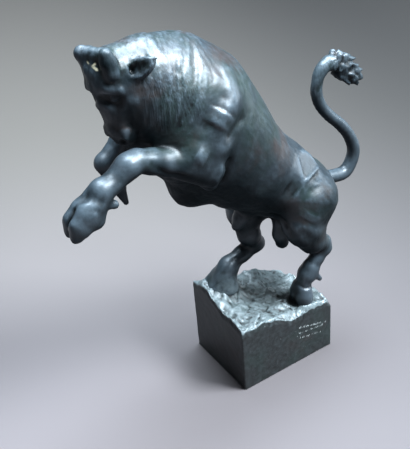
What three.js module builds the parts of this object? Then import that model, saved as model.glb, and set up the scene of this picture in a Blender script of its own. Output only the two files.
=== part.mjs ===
// Rearing bull standing on its hind hooves on a block with rough modelled ground, cast bronze.
// Millimetres, z up. Origin in the middle of the block's underside; the bull heads towards -x
// and its left flank looks towards -y.
import * as THREE from "three";

// Sizes of the block
const blockLength = 115;
const blockWidth = 90;
const heightFrontRight = 87;
const heightFrontLeft = 79;
const heightRearLeft = 58;
const heightRearRight = 48;
const groundCell = 5.2;

// Size of the figure and where it stands; the modelling below is laid out for a figure of 345
const figureHeight = 345;
const nearFootHeight = 65;
const footGap = 0.3;

// Fineness of the solids
const clayCell = 3.0;
const figureTriangles = 8300;

const unit = figureHeight / 345;
const nearFootLevel = 65;
const farFootLevel = 86;
const nearFoot = [33, -28];
const farFoot = [-41, 25];

// Point of the figure's layout placed in the part's frame
function place(p) {
  return [p[0] * unit, p[1] * unit, nearFootHeight + (p[2] - nearFootLevel) * unit];
}

// Soft step from 0 to 1 while t runs from a to b
function ease(a, b, t) {
  const s = Math.min(1, Math.max(0, (t - a) / (b - a)));
  return s * s * (3 - 2 * s);
}

// Repeatable value between -1 and 1 for a whole-number lattice point
function lattice(i, j) {
  const s = Math.sin(i * 127.1 + j * 311.7) * 43758.5453;
  return 2 * (s - Math.floor(s)) - 1;
}

// Smooth uneven surface: lattice values blended between their four neighbours
function uneven(x, y) {
  const i = Math.floor(x);
  const j = Math.floor(y);
  const s = ease(0, 1, x - i);
  const t = ease(0, 1, y - j);
  const low = lattice(i, j) * (1 - s) + lattice(i + 1, j) * s;
  const high = lattice(i, j + 1) * (1 - s) + lattice(i + 1, j + 1) * s;
  return low * (1 - t) + high * t;
}

// Round swelling of the ground
function swell(x, y, cx, cy, rx, ry, height) {
  return height * Math.exp(-(((x - cx) / rx) ** 2) - ((y - cy) / ry) ** 2);
}

// Height of the ground over a point of the block
function groundHeight(x, y) {
  const s = x / blockLength + 0.5;
  const t = y / blockWidth + 0.5;
  const left = heightFrontLeft * (1 - s) + heightRearLeft * s;
  const right = heightFrontRight * (1 - s) + heightRearRight * s;
  let h = left * (1 - t) + right * t;
  h += swell(x, y, 12, 42, 30, 16, 5);
  h += swell(x, y, -26, -44, 18, 12, 6);
  h -= swell(x, y, 10, -46, 9, 10, 3);
  h += swell(x, y, 42, -44, 12, 10, 3);
  h += swell(x, y, -58, 6, 16, 26, 6);
  h += swell(x, y, 58, -22, 14, 18, 6);
  h += swell(x, y, 58, 20, 12, 14, 5);
  h += swell(x, y, -44, 27, 20, 18, 5);
  h -= swell(x, y, 4, -6, 22, 16, 3);
  h += 1.8 * uneven(x / 13 + 4, y / 11 + 9) + 1.1 * uneven(x / 6 + 21, y / 6 + 3);
  return h;
}

// Ground with a level tread under each hind hoof
function ground(x, y) {
  let h = groundHeight(x, y);
  const treads = [[nearFoot, nearFootLevel], [farFoot, farFootLevel]];
  for (const [foot, level] of treads) {
    const [fx, fy, fz] = place([foot[0], foot[1], level]);
    const hold = 1 - ease(16 * unit, 25 * unit, Math.hypot(x - fx, y - fy));
    h = h * (1 - hold) + fz * hold;
  }
  return h;
}

// Solid from points and triangles
function solid(name, points, faces, colour, roughness) {
  const geometry = new THREE.BufferGeometry();
  geometry.setAttribute("position", new THREE.Float32BufferAttribute(points.flat(), 3));
  geometry.setIndex(faces.flat());
  geometry.computeVertexNormals();
  const material = new THREE.MeshStandardMaterial({ color: colour, roughness, metalness: 0.85 });
  const mesh = new THREE.Mesh(geometry, material);
  mesh.name = name;
  return mesh;
}

// Block: upright sides, flat underside, rough ground on top
function makeBlock() {
  const nx = Math.round(blockLength / groundCell);
  const ny = Math.round(blockWidth / groundCell);
  const points = [];
  const faces = [];
  for (let j = 0; j <= ny; j++) {
    for (let i = 0; i <= nx; i++) {
      const x = blockLength * (i / nx - 0.5);
      const y = blockWidth * (j / ny - 0.5);
      points.push([x, y, ground(x, y)]);
    }
  }
  const at = (i, j) => j * (nx + 1) + i;
  for (let j = 0; j < ny; j++) {
    for (let i = 0; i < nx; i++) {
      faces.push([at(i, j), at(i + 1, j), at(i + 1, j + 1)]);
      faces.push([at(i, j), at(i + 1, j + 1), at(i, j + 1)]);
    }
  }
  const rim = [];
  for (let i = 0; i < nx; i++) rim.push(at(i, 0));
  for (let j = 0; j < ny; j++) rim.push(at(nx, j));
  for (let i = nx; i > 0; i--) rim.push(at(i, ny));
  for (let j = ny; j > 0; j--) rim.push(at(0, j));
  const middle = points.length;
  points.push([0, 0, 0]);
  const foot = points.length;
  for (const r of rim) points.push([points[r][0], points[r][1], 0]);
  for (let k = 0; k < rim.length; k++) {
    const next = (k + 1) % rim.length;
    faces.push([rim[next], rim[k], foot + k]);
    faces.push([rim[next], foot + k, foot + next]);
    faces.push([middle, foot + next, foot + k]);
  }
  return solid("plinth", points, faces, 0x3c4647, 0.45);
}

// Block of clay: signed distance on a grid, negative inside the form
class Clay {
  constructor(low, high, cell) {
    this.low = low;
    this.cell = cell;
    this.count = low.map((v, k) => Math.ceil((high[k] - v) / cell) + 1);
    this.values = new Float32Array(this.count[0] * this.count[1] * this.count[2]).fill(99);
  }

  index(i, j, k) {
    return (i * this.count[1] + j) * this.count[2] + k;
  }

  // Visits every grid point in a box and puts the returned distance there
  visit(from, to, shape) {
    const a = [];
    const b = [];
    for (let k = 0; k < 3; k++) {
      a.push(Math.max(0, Math.floor((from[k] - this.low[k]) / this.cell)));
      b.push(Math.min(this.count[k] - 1, Math.ceil((to[k] - this.low[k]) / this.cell)));
    }
    const { low, cell } = this;
    for (let i = a[0]; i <= b[0]; i++) {
      for (let j = a[1]; j <= b[1]; j++) {
        for (let k = a[2]; k <= b[2]; k++) {
          const n = this.index(i, j, k);
          const point = [low[0] + i * cell, low[1] + j * cell, low[2] + k * cell];
          this.values[n] = shape(point, this.values[n]);
        }
      }
    }
  }

  // Adds or cuts a round bar from a to b whose radius runs from ra to rb. It melts into the
  // form over the width blend, and along the direction side it is wider by the factor wide.
  bar(a, ra, b, rb, blend, side = null, wide = 1, cut = false) {
    const reach = Math.max(ra, rb) * Math.max(1, wide) + blend + 3 * this.cell;
    const from = a.map((v, k) => Math.min(v, b[k]) - reach);
    const to = a.map((v, k) => Math.max(v, b[k]) + reach);
    const run = b.map((v, k) => v - a[k]);
    const long = Math.max(1e-6, run[0] ** 2 + run[1] ** 2 + run[2] ** 2);
    this.visit(from, to, (p, old) => {
      const o = [p[0] - a[0], p[1] - a[1], p[2] - a[2]];
      const along = (o[0] * run[0] + o[1] * run[1] + o[2] * run[2]) / long;
      const h = Math.min(1, Math.max(0, along));
      for (let k = 0; k < 3; k++) o[k] -= h * run[k];
      let square = o[0] ** 2 + o[1] ** 2 + o[2] ** 2;
      if (side) {
        const s = o[0] * side[0] + o[1] * side[1] + o[2] * side[2];
        square += (s / wide) ** 2 - s * s;
      }
      const d = (Math.sqrt(Math.max(0, square)) - ra - (rb - ra) * h) * Math.min(1, side ? wide : 1);
      const other = cut ? -d : d;
      const melt = Math.max(blend - Math.abs(old - other), 0) ** 2 / (4 * blend);
      return cut ? Math.max(old, other) + melt : Math.min(old, other) - melt;
    });
  }

  // Where the form only touches itself across a cell, the faintest of its eight values changes
  // side, until the inside and the outside each hang together in every cell
  settle() {
    const [nx, ny, nz] = this.count;
    const v = this.values;
    const whole = [];
    for (let mask = 0; mask < 256; mask++) {
      let parts = 0;
      let seen = 0;
      for (let c = 0; c < 8; c++) {
        if (seen & (1 << c)) continue;
        parts += 1;
        const open = [c];
        while (open.length > 0) {
          const a = open.pop();
          if (seen & (1 << a)) continue;
          seen |= 1 << a;
          for (const bit of [1, 2, 4]) {
            const b = a ^ bit;
            if (((mask >> a) & 1) === ((mask >> b) & 1)) open.push(b);
          }
        }
      }
      whole.push(parts <= 2);
    }
    for (let pass = 0; pass < 20; pass++) {
      let changes = 0;
      for (let i = 0; i < nx - 1; i++) {
        for (let j = 0; j < ny - 1; j++) {
          for (let k = 0; k < nz - 1; k++) {
            let mask = 0;
            let faint = -1;
            for (let c = 0; c < 8; c++) {
              const n = this.index(i + (c >> 2), j + ((c >> 1) & 1), k + (c & 1));
              if (v[n] < 0) mask |= 1 << c;
              if (faint < 0 || Math.abs(v[n]) < Math.abs(v[faint])) faint = n;
            }
            if (whole[mask]) continue;
            v[faint] = v[faint] < 0 ? 0.05 * this.cell : -0.05 * this.cell;
            changes += 1;
          }
        }
      }
      if (changes === 0) break;
    }
  }

  // Surface as one closed mesh: a point in every grid cell the surface passes, at the mean of
  // its crossings, and a four-sided face round every crossed grid edge
  skin() {
    const [nx, ny, nz] = this.count;
    const v = this.values;
    const corner = [];
    for (let c = 0; c < 8; c++) corner.push([c >> 2, (c >> 1) & 1, c & 1]);
    const edges = [];
    for (let c = 0; c < 8; c++) {
      for (const bit of [4, 2, 1]) {
        if (!(c & bit)) edges.push([c, c | bit]);
      }
    }
    const points = [];
    const faces = [];
    const cellPoint = new Int32Array(nx * ny * nz).fill(-1);
    for (let i = 0; i < nx - 1; i++) {
      for (let j = 0; j < ny - 1; j++) {
        for (let k = 0; k < nz - 1; k++) {
          const d = corner.map((c) => v[this.index(i + c[0], j + c[1], k + c[2])]);
          const inside = d.filter((w) => w < 0).length;
          if (inside === 0 || inside === 8) continue;
          const sum = [0, 0, 0];
          let hits = 0;
          for (const [p, q] of edges) {
            if ((d[p] < 0) === (d[q] < 0)) continue;
            const t = d[p] / (d[p] - d[q]);
            for (let m = 0; m < 3; m++) sum[m] += corner[p][m] + t * (corner[q][m] - corner[p][m]);
            hits += 1;
          }
          cellPoint[this.index(i, j, k)] = points.length;
          const grid = [i, j, k];
          points.push(grid.map((g, m) => this.low[m] + this.cell * (g + sum[m] / hits)));
        }
      }
    }
    const step = [[1, 0, 0], [0, 1, 0], [0, 0, 1]];
    for (let i = 1; i < nx - 1; i++) {
      for (let j = 1; j < ny - 1; j++) {
        for (let k = 1; k < nz - 1; k++) {
          const here = v[this.index(i, j, k)] < 0;
          for (let m = 0; m < 3; m++) {
            const s = step[m];
            const there = v[this.index(i + s[0], j + s[1], k + s[2])] < 0;
            if (here === there) continue;
            const e = step[(m + 1) % 3];
            const f = step[(m + 2) % 3];
            const at = (p, q) => cellPoint[this.index(
              i - p * e[0] - q * f[0], j - p * e[1] - q * f[1], k - p * e[2] - q * f[2])];
            const ring = [at(1, 1), at(0, 1), at(0, 0), at(1, 0)];
            if (!here) ring.reverse();
            faces.push([ring[0], ring[1], ring[2]], [ring[0], ring[2], ring[3]]);
          }
        }
      }
    }
    return { points, faces };
  }
}

function minus(a, b) {
  return [a[0] - b[0], a[1] - b[1], a[2] - b[2]];
}

function cross(a, b) {
  return [a[1] * b[2] - a[2] * b[1], a[2] * b[0] - a[0] * b[2], a[0] * b[1] - a[1] * b[0]];
}

function dot(a, b) {
  return a[0] * b[0] + a[1] * b[1] + a[2] * b[2];
}

// Sum of squared distances from p to the planes gathered in q
function planeError(q, p) {
  const [x, y, z] = p;
  return q[0] * x * x + q[4] * y * y + q[7] * z * z + q[9]
    + 2 * (q[1] * x * y + q[2] * x * z + q[5] * y * z + q[3] * x + q[6] * y + q[8] * z);
}

// Point nearest to all planes gathered in q, or null where they do not fix one
function bestPoint(q) {
  const rows = [[q[0], q[1], q[2]], [q[1], q[4], q[5]], [q[2], q[5], q[7]]];
  const volume = dot(rows[0], cross(rows[1], rows[2]));
  const size = q[0] + q[4] + q[7];
  if (Math.abs(volume) < 1e-4 * size ** 3) return null;
  const w = [-q[3], -q[6], -q[8]];
  const across = [cross(rows[1], rows[2]), cross(rows[2], rows[0]), cross(rows[0], rows[1])];
  return [0, 1, 2].map((m) => (w[0] * across[0][m] + w[1] * across[1][m] + w[2] * across[2][m]) / volume);
}

// Merges neighbouring points, flattest places first, until only goal triangles are left
function thin(mesh, goal) {
  const points = mesh.points.map((p) => p.slice());
  const faces = mesh.faces.map((f) => f.slice());
  const round = points.map(() => new Set());
  const planes = points.map(() => new Float64Array(10));
  const version = new Int32Array(points.length);
  faces.forEach((f, i) => {
    const n = cross(minus(points[f[1]], points[f[0]]), minus(points[f[2]], points[f[0]]));
    const area = Math.sqrt(dot(n, n)) || 1e-12;
    const m = n.map((w) => w / area);
    const plane = [...m, -dot(m, points[f[0]])];
    for (const a of f) {
      round[a].add(i);
      let at = 0;
      for (let r = 0; r < 4; r++) {
        for (let s = r; s < 4; s++) planes[a][at++] += area * plane[r] * plane[s];
      }
    }
  });
  const heap = [];
  const rise = (entry) => {
    let i = heap.push(entry) - 1;
    while (i > 0) {
      const up = (i - 1) >> 1;
      if (heap[up][0] <= heap[i][0]) break;
      [heap[up], heap[i]] = [heap[i], heap[up]];
      i = up;
    }
  };
  const take = () => {
    const top = heap[0];
    const last = heap.pop();
    if (heap.length > 0) {
      heap[0] = last;
      let i = 0;
      for (;;) {
        let low = i;
        for (const c of [2 * i + 1, 2 * i + 2]) {
          if (c < heap.length && heap[c][0] < heap[low][0]) low = c;
        }
        if (low === i) break;
        [heap[low], heap[i]] = [heap[i], heap[low]];
        i = low;
      }
    }
    return top;
  };
  const offer = (a, b) => {
    const q = planes[a].map((w, k) => w + planes[b][k]);
    const between = minus(points[b], points[a]);
    const span = dot(between, between);
    const middle = points[a].map((w, k) => (w + points[b][k]) / 2);
    let p = bestPoint(q);
    if (p) {
      const off = minus(p, middle);
      if (dot(off, off) > span) p = null;
    }
    if (!p) {
      const choice = [middle, points[a], points[b]];
      choice.sort((c, d) => planeError(q, c) - planeError(q, d));
      p = choice[0];
    }
    rise([Math.max(0, planeError(q, p)) + 0.002 * span, a, b, version[a], version[b], p, q]);
  };
  const neighbours = (a) => {
    const out = new Set();
    for (const f of round[a]) {
      for (const v of faces[f]) {
        if (v !== a) out.add(v);
      }
    }
    return out;
  };
  points.forEach((p, a) => {
    for (const b of neighbours(a)) {
      if (a < b) offer(a, b);
    }
  });
  let left = faces.length;
  while (left > goal && heap.length > 0) {
    const [, a, b, va, vb, p, q] = take();
    if (version[a] !== va || version[b] !== vb) continue;
    const besideB = neighbours(b);
    const shared = [...neighbours(a)].filter((v) => besideB.has(v)).length;
    if (shared !== 2) continue;
    const turns = (v, other) => [...round[v]].some((f) => {
      const t = faces[f];
      if (t.includes(other)) return false;
      const was = t.map((w) => points[w]);
      const is = t.map((w) => (w === v ? p : points[w]));
      const n0 = cross(minus(was[1], was[0]), minus(was[2], was[0]));
      const n1 = cross(minus(is[1], is[0]), minus(is[2], is[0]));
      const longest = Math.max(...[0, 1, 2].map((k) => {
        const e = minus(is[k], is[(k + 1) % 3]);
        return dot(e, e);
      }));
      const size = Math.sqrt(dot(n1, n1));
      return dot(n0, n1) < 0.3 * Math.sqrt(dot(n0, n0)) * size || size < 0.12 * longest;
    });
    if (turns(a, b) || turns(b, a)) continue;
    points[a] = p;
    planes[a] = q;
    for (const f of round[b]) {
      if (faces[f].includes(a)) {
        for (const v of faces[f]) {
          if (v !== b) round[v].delete(f);
        }
        faces[f] = null;
        left -= 1;
      } else {
        faces[f][faces[f].indexOf(b)] = a;
        round[a].add(f);
      }
    }
    round[b].clear();
    version[a] += 1;
    version[b] = -1;
    for (const v of neighbours(a)) offer(a, v);
  }
  const kept = faces.filter((f) => f !== null);
  const used = new Map();
  for (const v of kept.flat()) {
    if (!used.has(v)) used.set(v, used.size);
  }
  return {
    points: [...used.keys()].map((v) => points[v]),
    faces: kept.map((f) => f.map((v) => used.get(v))),
  };
}

// Smooth run of stations [x, y, z, radius] through the given ones, count to each stretch
function smooth(stations, count) {
  const first = stations[0].map((v, k) => 2 * v - stations[1][k]);
  const last = stations.at(-1).map((v, k) => 2 * v - stations.at(-2)[k]);
  const all = [first, ...stations, last];
  const out = [];
  for (let i = 1; i < all.length - 2; i++) {
    for (let j = 0; j < count; j++) {
      const t = j / count;
      const [a, b, c, d] = [all[i - 1], all[i], all[i + 1], all[i + 2]];
      out.push(b.map((v, k) => 0.5 * (2 * v + (c[k] - a[k]) * t
        + (2 * a[k] - 5 * v + 4 * c[k] - d[k]) * t * t
        + (3 * v - a[k] - 3 * c[k] + d[k]) * t * t * t)));
    }
  }
  out.push(stations.at(-1));
  return out;
}

// The figure, built up in clay from the layout's stations
function makeBull() {
  const low = place([-236.4, -71.3, 51.7]);
  const high = place([146, 72, 424]);
  const clay = new Clay(low, high, clayCell);
  const across = [0, 1, 0];

  const add = (a, ra, b, rb, blend, side = null, wide = 1) => {
    clay.bar(place(a), ra * unit, place(b), rb * unit, blend * unit, side, wide);
  };
  const carve = (a, ra, b, rb, blend) => {
    clay.bar(place(a), ra * unit, place(b), rb * unit, blend * unit, null, 1, true);
  };
  const limb = (stations, blend, start = blend, side = null, wide = 1) => {
    for (let i = 0; i + 1 < stations.length; i++) {
      const [a, b] = [stations[i], stations[i + 1]];
      add(a.slice(0, 3), a[3], b.slice(0, 3), b[3], i === 0 ? start : blend, side, wide);
    }
  };

  // Trunk, neck and brisket
  const trunk = [
    [46, 0, 188, 34], [18, 0, 213, 37], [-18, 0, 246, 44.5],
    [-45, 0, 282, 53], [-70, 0, 318, 58], [-92, -1, 345, 49],
  ];
  limb(trunk, 14, 1, across, 0.86);
  add([-92, -1, 345], 49, [-118, -4, 366], 34, 14, across, 0.72);
  add([-118, -4, 366], 34, [-134, -6, 373], 26, 10, across, 0.8);
  add([-62, 0, 262], 34, [-72, 0, 242], 22, 12, across, 0.8);
  add([56, 0, 183], 26, [62, 0, 166], 19, 14, across, 1.15);
  for (const s of [-1, 1]) {
    add([28, s * 20, 212], 20, [46, s * 22, 190], 25, 14);
    add([50, s * 18, 212], 7, [60, s * 20, 198], 7, 8);
  }

  // Near hind leg: thigh, hock, cannon, pastern, two claws with their dewclaws
  add([40, -24, 190], 29, [31, -31, 170], 21, 12);
  add([50, -22, 180], 22, [44, -28, 156], 15, 12);
  limb([[31, -33, 158, 15.5], [42, -32, 142, 13], [59, -29, 129, 8.5]], 6, 10);
  limb([[61, -29, 130, 7], [58, -29, 124, 9.2], [50, -28, 114, 9], [40, -28, 104, 8.5]], 4);
  limb([[39, -28, 103, 10], [36, -27, 94, 8.5], [34, -27, 87, 9]], 4);
  for (const s of [-1, 1]) {
    limb([[33, -27 + s * 4.5, 84, 7.5], [31.5, -28 + s * 5.2, 68, 9]], 2, 4);
    add([45, -27 + s * 5, 96], 3.4, [49, -27 + s * 5.5, 91], 2.6, 3);
  }

  // Far hind leg
  add([34, 22, 186], 28, [8, 30, 166], 22, 12);
  add([0, 27, 160], 15, [3, 22, 136], 11.5, 8);
  add([3, 22, 136], 11.5, [9, 22, 122], 9, 5);
  limb([[10, 22, 121, 8.5], [-6, 23, 114, 8.8], [-22, 23, 108, 9]], 5);
  limb([[-24, 23, 107, 11], [-33, 24, 98, 10]], 4);
  for (const s of [-1, 1]) limb([[-34, 25 + s * 5, 97, 7.5], [-43, 25 + s * 5.5, 88, 9]], 2, 4);

  // Shoulders and near fore leg, held out straight
  for (const s of [-1, 1]) add([-58, s * 27, 332], 22, [-88, s * 33, 300], 22, 12);
  add([-88, -37, 298], 19, [-80, -43, 285], 13, 10);
  limb([[-82, -44, 285, 13.8], [-118, -41, 303, 10.6], [-146, -40, 316, 9.4]], 6, 8);
  add([-146, -40, 315], 11, [-154, -41, 313], 10.5, 5);
  limb([[-154, -41, 313, 9.2], [-172, -43, 305, 8], [-181, -44, 300, 10.5]], 4, 5);
  for (const s of [-1, 1]) {
    const y = -45 + s * 5.5;
    limb([[-190, y, 298, 10], [-202, y, 287, 12.6], [-209, y, 278, 7]], 3, 4, across, 0.7);
    limb([[-190, y, 291, 9], [-193, y, 284, 10.5]], 3, 3, across, 0.75);
    add([-180, -44 + s * 5, 293], 3.4, [-174, -44 + s * 5.5, 290], 2.8, 3);
  }

  // Far fore leg, folded under
  add([-92, 34, 300], 20, [-84, 42, 304], 17, 10);
  limb([[-84, 40, 303, 16], [-116, 38, 290, 10.5], [-138, 35, 277, 8.2]], 6, 8);
  limb([[-140, 35, 275, 9], [-136, 33, 262, 6.6], [-131, 31, 250, 7]], 4);
  limb([[-131, 31, 248, 6.8], [-127, 28, 231, 2.8]], 3);

  // Scrotum and sheath
  limb([[28, -1, 152, 9.5], [26, -2, 140, 8.5], [27, -2, 129, 7]], 4, 7);
  limb([[-12, 0, 192, 11], [-20, 0, 180, 7.5], [-26, 0, 173, 5.2]], 6, 8);

  // Tail: up in an S, tuft of hair at the end
  const tail = [
    [76, 0, 186, 8], [96, 0, 180, 7], [112, 0, 179, 6.8], [121, 0, 190, 6.5], [123, 0, 204, 6.3],
    [116, 0, 222, 6], [104, 0, 239, 5.8], [91, 0, 253, 5.6], [80, 0, 268, 5.5], [75, 0, 283, 5.5],
    [76, 0, 297, 5.6], [82, 0, 307, 6.2], [92, 0, 311, 7],
  ];
  limb(smooth(tail, 3), 1.5, 8);
  limb([[92, 0, 311, 7], [105, 0, 305, 9.5], [118, 0, 294, 8], [127, 0, 285, 5]], 3);

  // Head, in its own frame: along the face, to its left, out of the forehead
  const poll = [-158, -8, 402];
  const [yaw, pitch, lean] = [16.7, 94, -6.5].map((v) => v * Math.PI / 180);
  const down = [-Math.cos(yaw) * Math.cos(pitch), -Math.sin(yaw) * Math.cos(pitch), -Math.sin(pitch)];
  const level = [Math.sin(yaw), -Math.cos(yaw), 0];
  const out = cross(down, level);
  const face = down.map((v, k) => Math.cos(lean) * v - Math.sin(lean) * level[k]);
  const left = down.map((v, k) => Math.cos(lean) * level[k] + Math.sin(lean) * v);
  const at = (a, b, c) => poll.map((v, k) => v + a * face[k] + b * left[k] + c * out[k]);
  add(at(19, 0, -18), 16, at(34, 0, -19), 16.5, 6, left, 1.1);
  add(at(34, 0, -18), 15.5, at(70, 0, -13), 9.5, 8);
  add(at(44, 0, -25), 10, at(74, 0, -20), 7.5, 8);
  add(at(71, 0, -10), 9.5, at(77, 0, -12), 9.5, 5, left, 1.25);
  add(at(74, 0, -22), 7.5, at(79, 0, -20), 6.5, 4, left, 1.15);
  add(at(3, -14, -8), 6, at(3, 9, -10), 6, 5);
  for (const s of [-1, 1]) {
    add(at(26, s * 12, -34), 11, at(42, s * 9, -29), 9.5, 8);
    add(at(29, s * 10, -7), 5, at(33, s * 15.5, -9), 5.2, 5);
    add(at(52, s * 9, -12), 4, at(62, s * 7, -9), 3.5, 5);
    carve(at(37, s * 15.5, -4), 4, at(43, s * 14, -5), 3.5, 5);
    add(at(26, s * 19, -28), 6, at(27, s * 30, -34), 7.5, 3, out, 0.7);
    add(at(27, s * 30, -34), 7.5, at(21, s * 41, -38), 2.2, 3, out, 0.7);
  }
  add(at(16, 14, -12), 6.5, at(9, 15, -9), 5.6, 4);
  add(at(9, 14.5, -9), 5.8, at(-2, 14, -6), 4.4, 3);
  add(at(6, -13, -8), 5.6, at(2, -15.5, -6), 4.5, 4);

  // Flat treads under the hind hooves
  const treads = [[nearFoot, nearFootLevel], [farFoot, farFootLevel]];
  for (const [foot, level] of treads) {
    const from = place([foot[0] - 30, foot[1] - 24, 50]);
    const to = place([foot[0] + 30, foot[1] + 24, level + 14]);
    const sole = place([0, 0, level])[2] + footGap;
    clay.visit(from, to, (p, old) => Math.max(old, sole - p[2]));
  }
  clay.settle();
  const { points, faces } = thin(clay.skin(), figureTriangles);
  return solid("bull", points, faces, 0x35403f, 0.35);
}

const group = new THREE.Group();
group.add(makeBlock());
group.add(makeBull());

export default group;
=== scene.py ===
# Rearing bull in cast bronze on its rough block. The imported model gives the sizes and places; here the
# fine form, the hair, the worn ground, the patina, the light and the view are made round it.
import math
import bpy
import numpy as np
from mathutils import Matrix, Vector


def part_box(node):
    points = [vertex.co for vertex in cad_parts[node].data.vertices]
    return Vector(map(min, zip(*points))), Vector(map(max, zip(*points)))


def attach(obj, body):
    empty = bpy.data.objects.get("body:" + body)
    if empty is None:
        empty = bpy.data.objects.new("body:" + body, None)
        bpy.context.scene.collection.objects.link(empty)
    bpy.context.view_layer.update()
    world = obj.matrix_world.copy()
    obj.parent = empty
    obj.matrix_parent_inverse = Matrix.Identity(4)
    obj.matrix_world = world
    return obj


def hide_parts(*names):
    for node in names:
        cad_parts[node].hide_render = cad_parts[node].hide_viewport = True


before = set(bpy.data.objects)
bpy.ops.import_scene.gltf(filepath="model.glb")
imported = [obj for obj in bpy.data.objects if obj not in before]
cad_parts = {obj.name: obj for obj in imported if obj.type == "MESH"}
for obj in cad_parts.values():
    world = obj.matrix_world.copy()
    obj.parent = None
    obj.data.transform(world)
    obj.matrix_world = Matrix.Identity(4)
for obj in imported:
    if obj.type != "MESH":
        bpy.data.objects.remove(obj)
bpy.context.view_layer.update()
print("frame loaded")

# Where the camera stands (metres), how it looks (degrees), and its lens and film (mm)
viewpoint = {
    "eye": (-0.42325, -0.61750, 0.71034), "azimuth": -30.354, "elevation": 35.968, "roll": -5.2598,
    "lens": 74.16, "film": 36,
}


def makeCamera(look):
    # Back points along azimuth and elevation, up is back across right, and the roll turns right and up together
    az, el, roll = (math.radians(look[key]) for key in ("azimuth", "elevation", "roll"))
    back = Vector((math.sin(az) * math.cos(el), -math.cos(az) * math.cos(el), math.sin(el)))
    right = Vector((math.cos(az), math.sin(az), 0))
    up = back.cross(right)
    turnedRight = math.cos(roll) * right + math.sin(roll) * up
    turnedUp = -math.sin(roll) * right + math.cos(roll) * up
    data = bpy.data.cameras.new("photoCamera")
    data.lens = look["lens"]
    data.sensor_width = look["film"]
    data.sensor_fit = "AUTO"
    camera = bpy.data.objects.new("photoCamera", data)
    bpy.context.scene.collection.objects.link(camera)
    placed = Matrix((turnedRight, turnedUp, back)).transposed().to_4x4()
    placed.translation = Vector(look["eye"])
    camera.matrix_world = placed
    bpy.context.scene.camera = camera


makeCamera(viewpoint)
print("camera placed")

millimetre = 0.001
farAway = 1e9                     # mm, farther than anything on the part
cellCorners = np.array([[c >> 2, c >> 1 & 1, c & 1] for c in range(8)])
scatterSteps = np.array([127.1, 311.7, 74.7])
scatterSpan, seedStep = 43758.5453, 17.13


def smoothStep(low, high, value):
    # 0 below low, 1 above high, and 3t^2 - 2t^3 between
    t = np.clip((value - low) / (high - low), 0, 1)
    return t * t * (3 - 2 * t)


def scatter(cells, seed):
    # Repeatable value from 0 to 1 for whole-number places: the fraction left of a large sine
    s = np.sin(cells @ scatterSteps + seed * seedStep) * scatterSpan
    return s - np.floor(s)


def grain(points, period, seed):
    # Smooth noise from -1 to 1: scattered values blended between the eight corners of each cell of size period
    q = points / period
    base = np.floor(q)
    f = q - base
    f = f * f * (3 - 2 * f)
    total = np.zeros(len(points))
    for corner in cellCorners:
        total += np.prod(np.where(corner, f, 1 - f), axis=1) * scatter(base + corner, seed)
    return 2 * total - 1


def dabs(points, period, seed):
    # Flat dabs of a tool: each point takes the tilt of the plane at the nearest scattered centre
    base = np.floor(points / period)
    best = np.full(len(points), farAway)
    height = np.zeros(len(points))
    for step in np.ndindex(3, 3, 3):
        cell = base + np.array(step) - 1
        spot = np.stack([scatter(cell, seed + k) for k in range(3)], 1)
        tilt = np.stack([scatter(cell, seed + 3 + k) for k in range(3)], 1) * 2 - 1
        away = points - (cell + spot) * period
        near = (away ** 2).sum(1)
        closer = near < best
        best = np.where(closer, near, best)
        height = np.where(closer, (away * tilt).sum(1) / period, height)
    return height


def layered(points, noise, layers):
    # Sum of a noise's layers, each a height, a period and a seed
    return sum(height * noise(points, period, seed) for height, period, seed in layers)


def strands(points, lie, period, length, seed, places=11):
    # Noise drawn out along the lie of the hair: grain summed at places along each point's own direction, then
    # brought to a spread of 1
    total = np.zeros(len(points))
    for step in np.linspace(-0.5, 0.5, places) * length:
        total += grain(points + lie * step, period, seed)
    return total / total.std()


def bell(points, place, reach):
    # exp(-(distance from the place / reach)^2)
    return np.exp(-((points - place) ** 2).sum(1) / reach ** 2)


def foldedOver(points):
    # Both flanks laid on the right one: y without its sign
    return np.stack([points[:, 0], np.abs(points[:, 1]), points[:, 2]], 1)


def fromLine(points, line):
    # Distance from each point to a bent line, and the part of the line passed at the nearest place, 0 to 1
    line = np.array(line, float)
    runs = line[1:] - line[:-1]
    lengths = np.linalg.norm(runs, axis=1)
    passed = np.concatenate([[0], np.cumsum(lengths)]) / lengths.sum()
    best = np.full(len(points), farAway)
    part = np.zeros(len(points))
    for a, run, size, start, end in zip(line, runs, lengths, passed, passed[1:]):
        t = np.clip((points - a) @ run / max(size, 1e-6) ** 2, 0, 1)
        away = np.linalg.norm(points - a - t[:, None] * run, axis=1)
        closer = away < best
        best = np.where(closer, away, best)
        part = np.where(closer, start + (end - start) * t, part)
    return best, part


def normalsOf(points, quads):
    # Sum of the crossed diagonals of the faces round each point, made unit length
    cross = np.cross(points[quads[:, 2]] - points[quads[:, 0]], points[quads[:, 3]] - points[quads[:, 1]])
    total = np.zeros_like(points)
    for k in range(4):
        for axis in range(3):
            total[:, axis] += np.bincount(quads[:, k], cross[:, axis], len(points))
    return total / np.maximum(np.linalg.norm(total, axis=1, keepdims=True), 1e-12)


def neighbourMean(values, quads):
    # Mean of a value, or of each column of values, over the points joined to each point by an edge
    start = quads.ravel()
    end = np.roll(quads, -1, axis=1).ravel()
    count = np.bincount(start, minlength=len(values))
    if values.ndim == 1:
        return np.bincount(start, values[end], len(values)) / count
    columns = [np.bincount(start, values[end, k], len(values)) for k in range(values.shape[1])]
    return np.stack(columns, 1) / count[:, None]


def swellOf(points, normals, quads, turns, full):
    # How far each point stands proud of its surroundings: its height over the mean after some turns of averaging,
    # as a part of the height that counts as full
    mean = points
    for turn in range(turns):
        mean = neighbourMean(mean, quads)
    return ((points - mean) * normals).sum(1) / full


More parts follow.
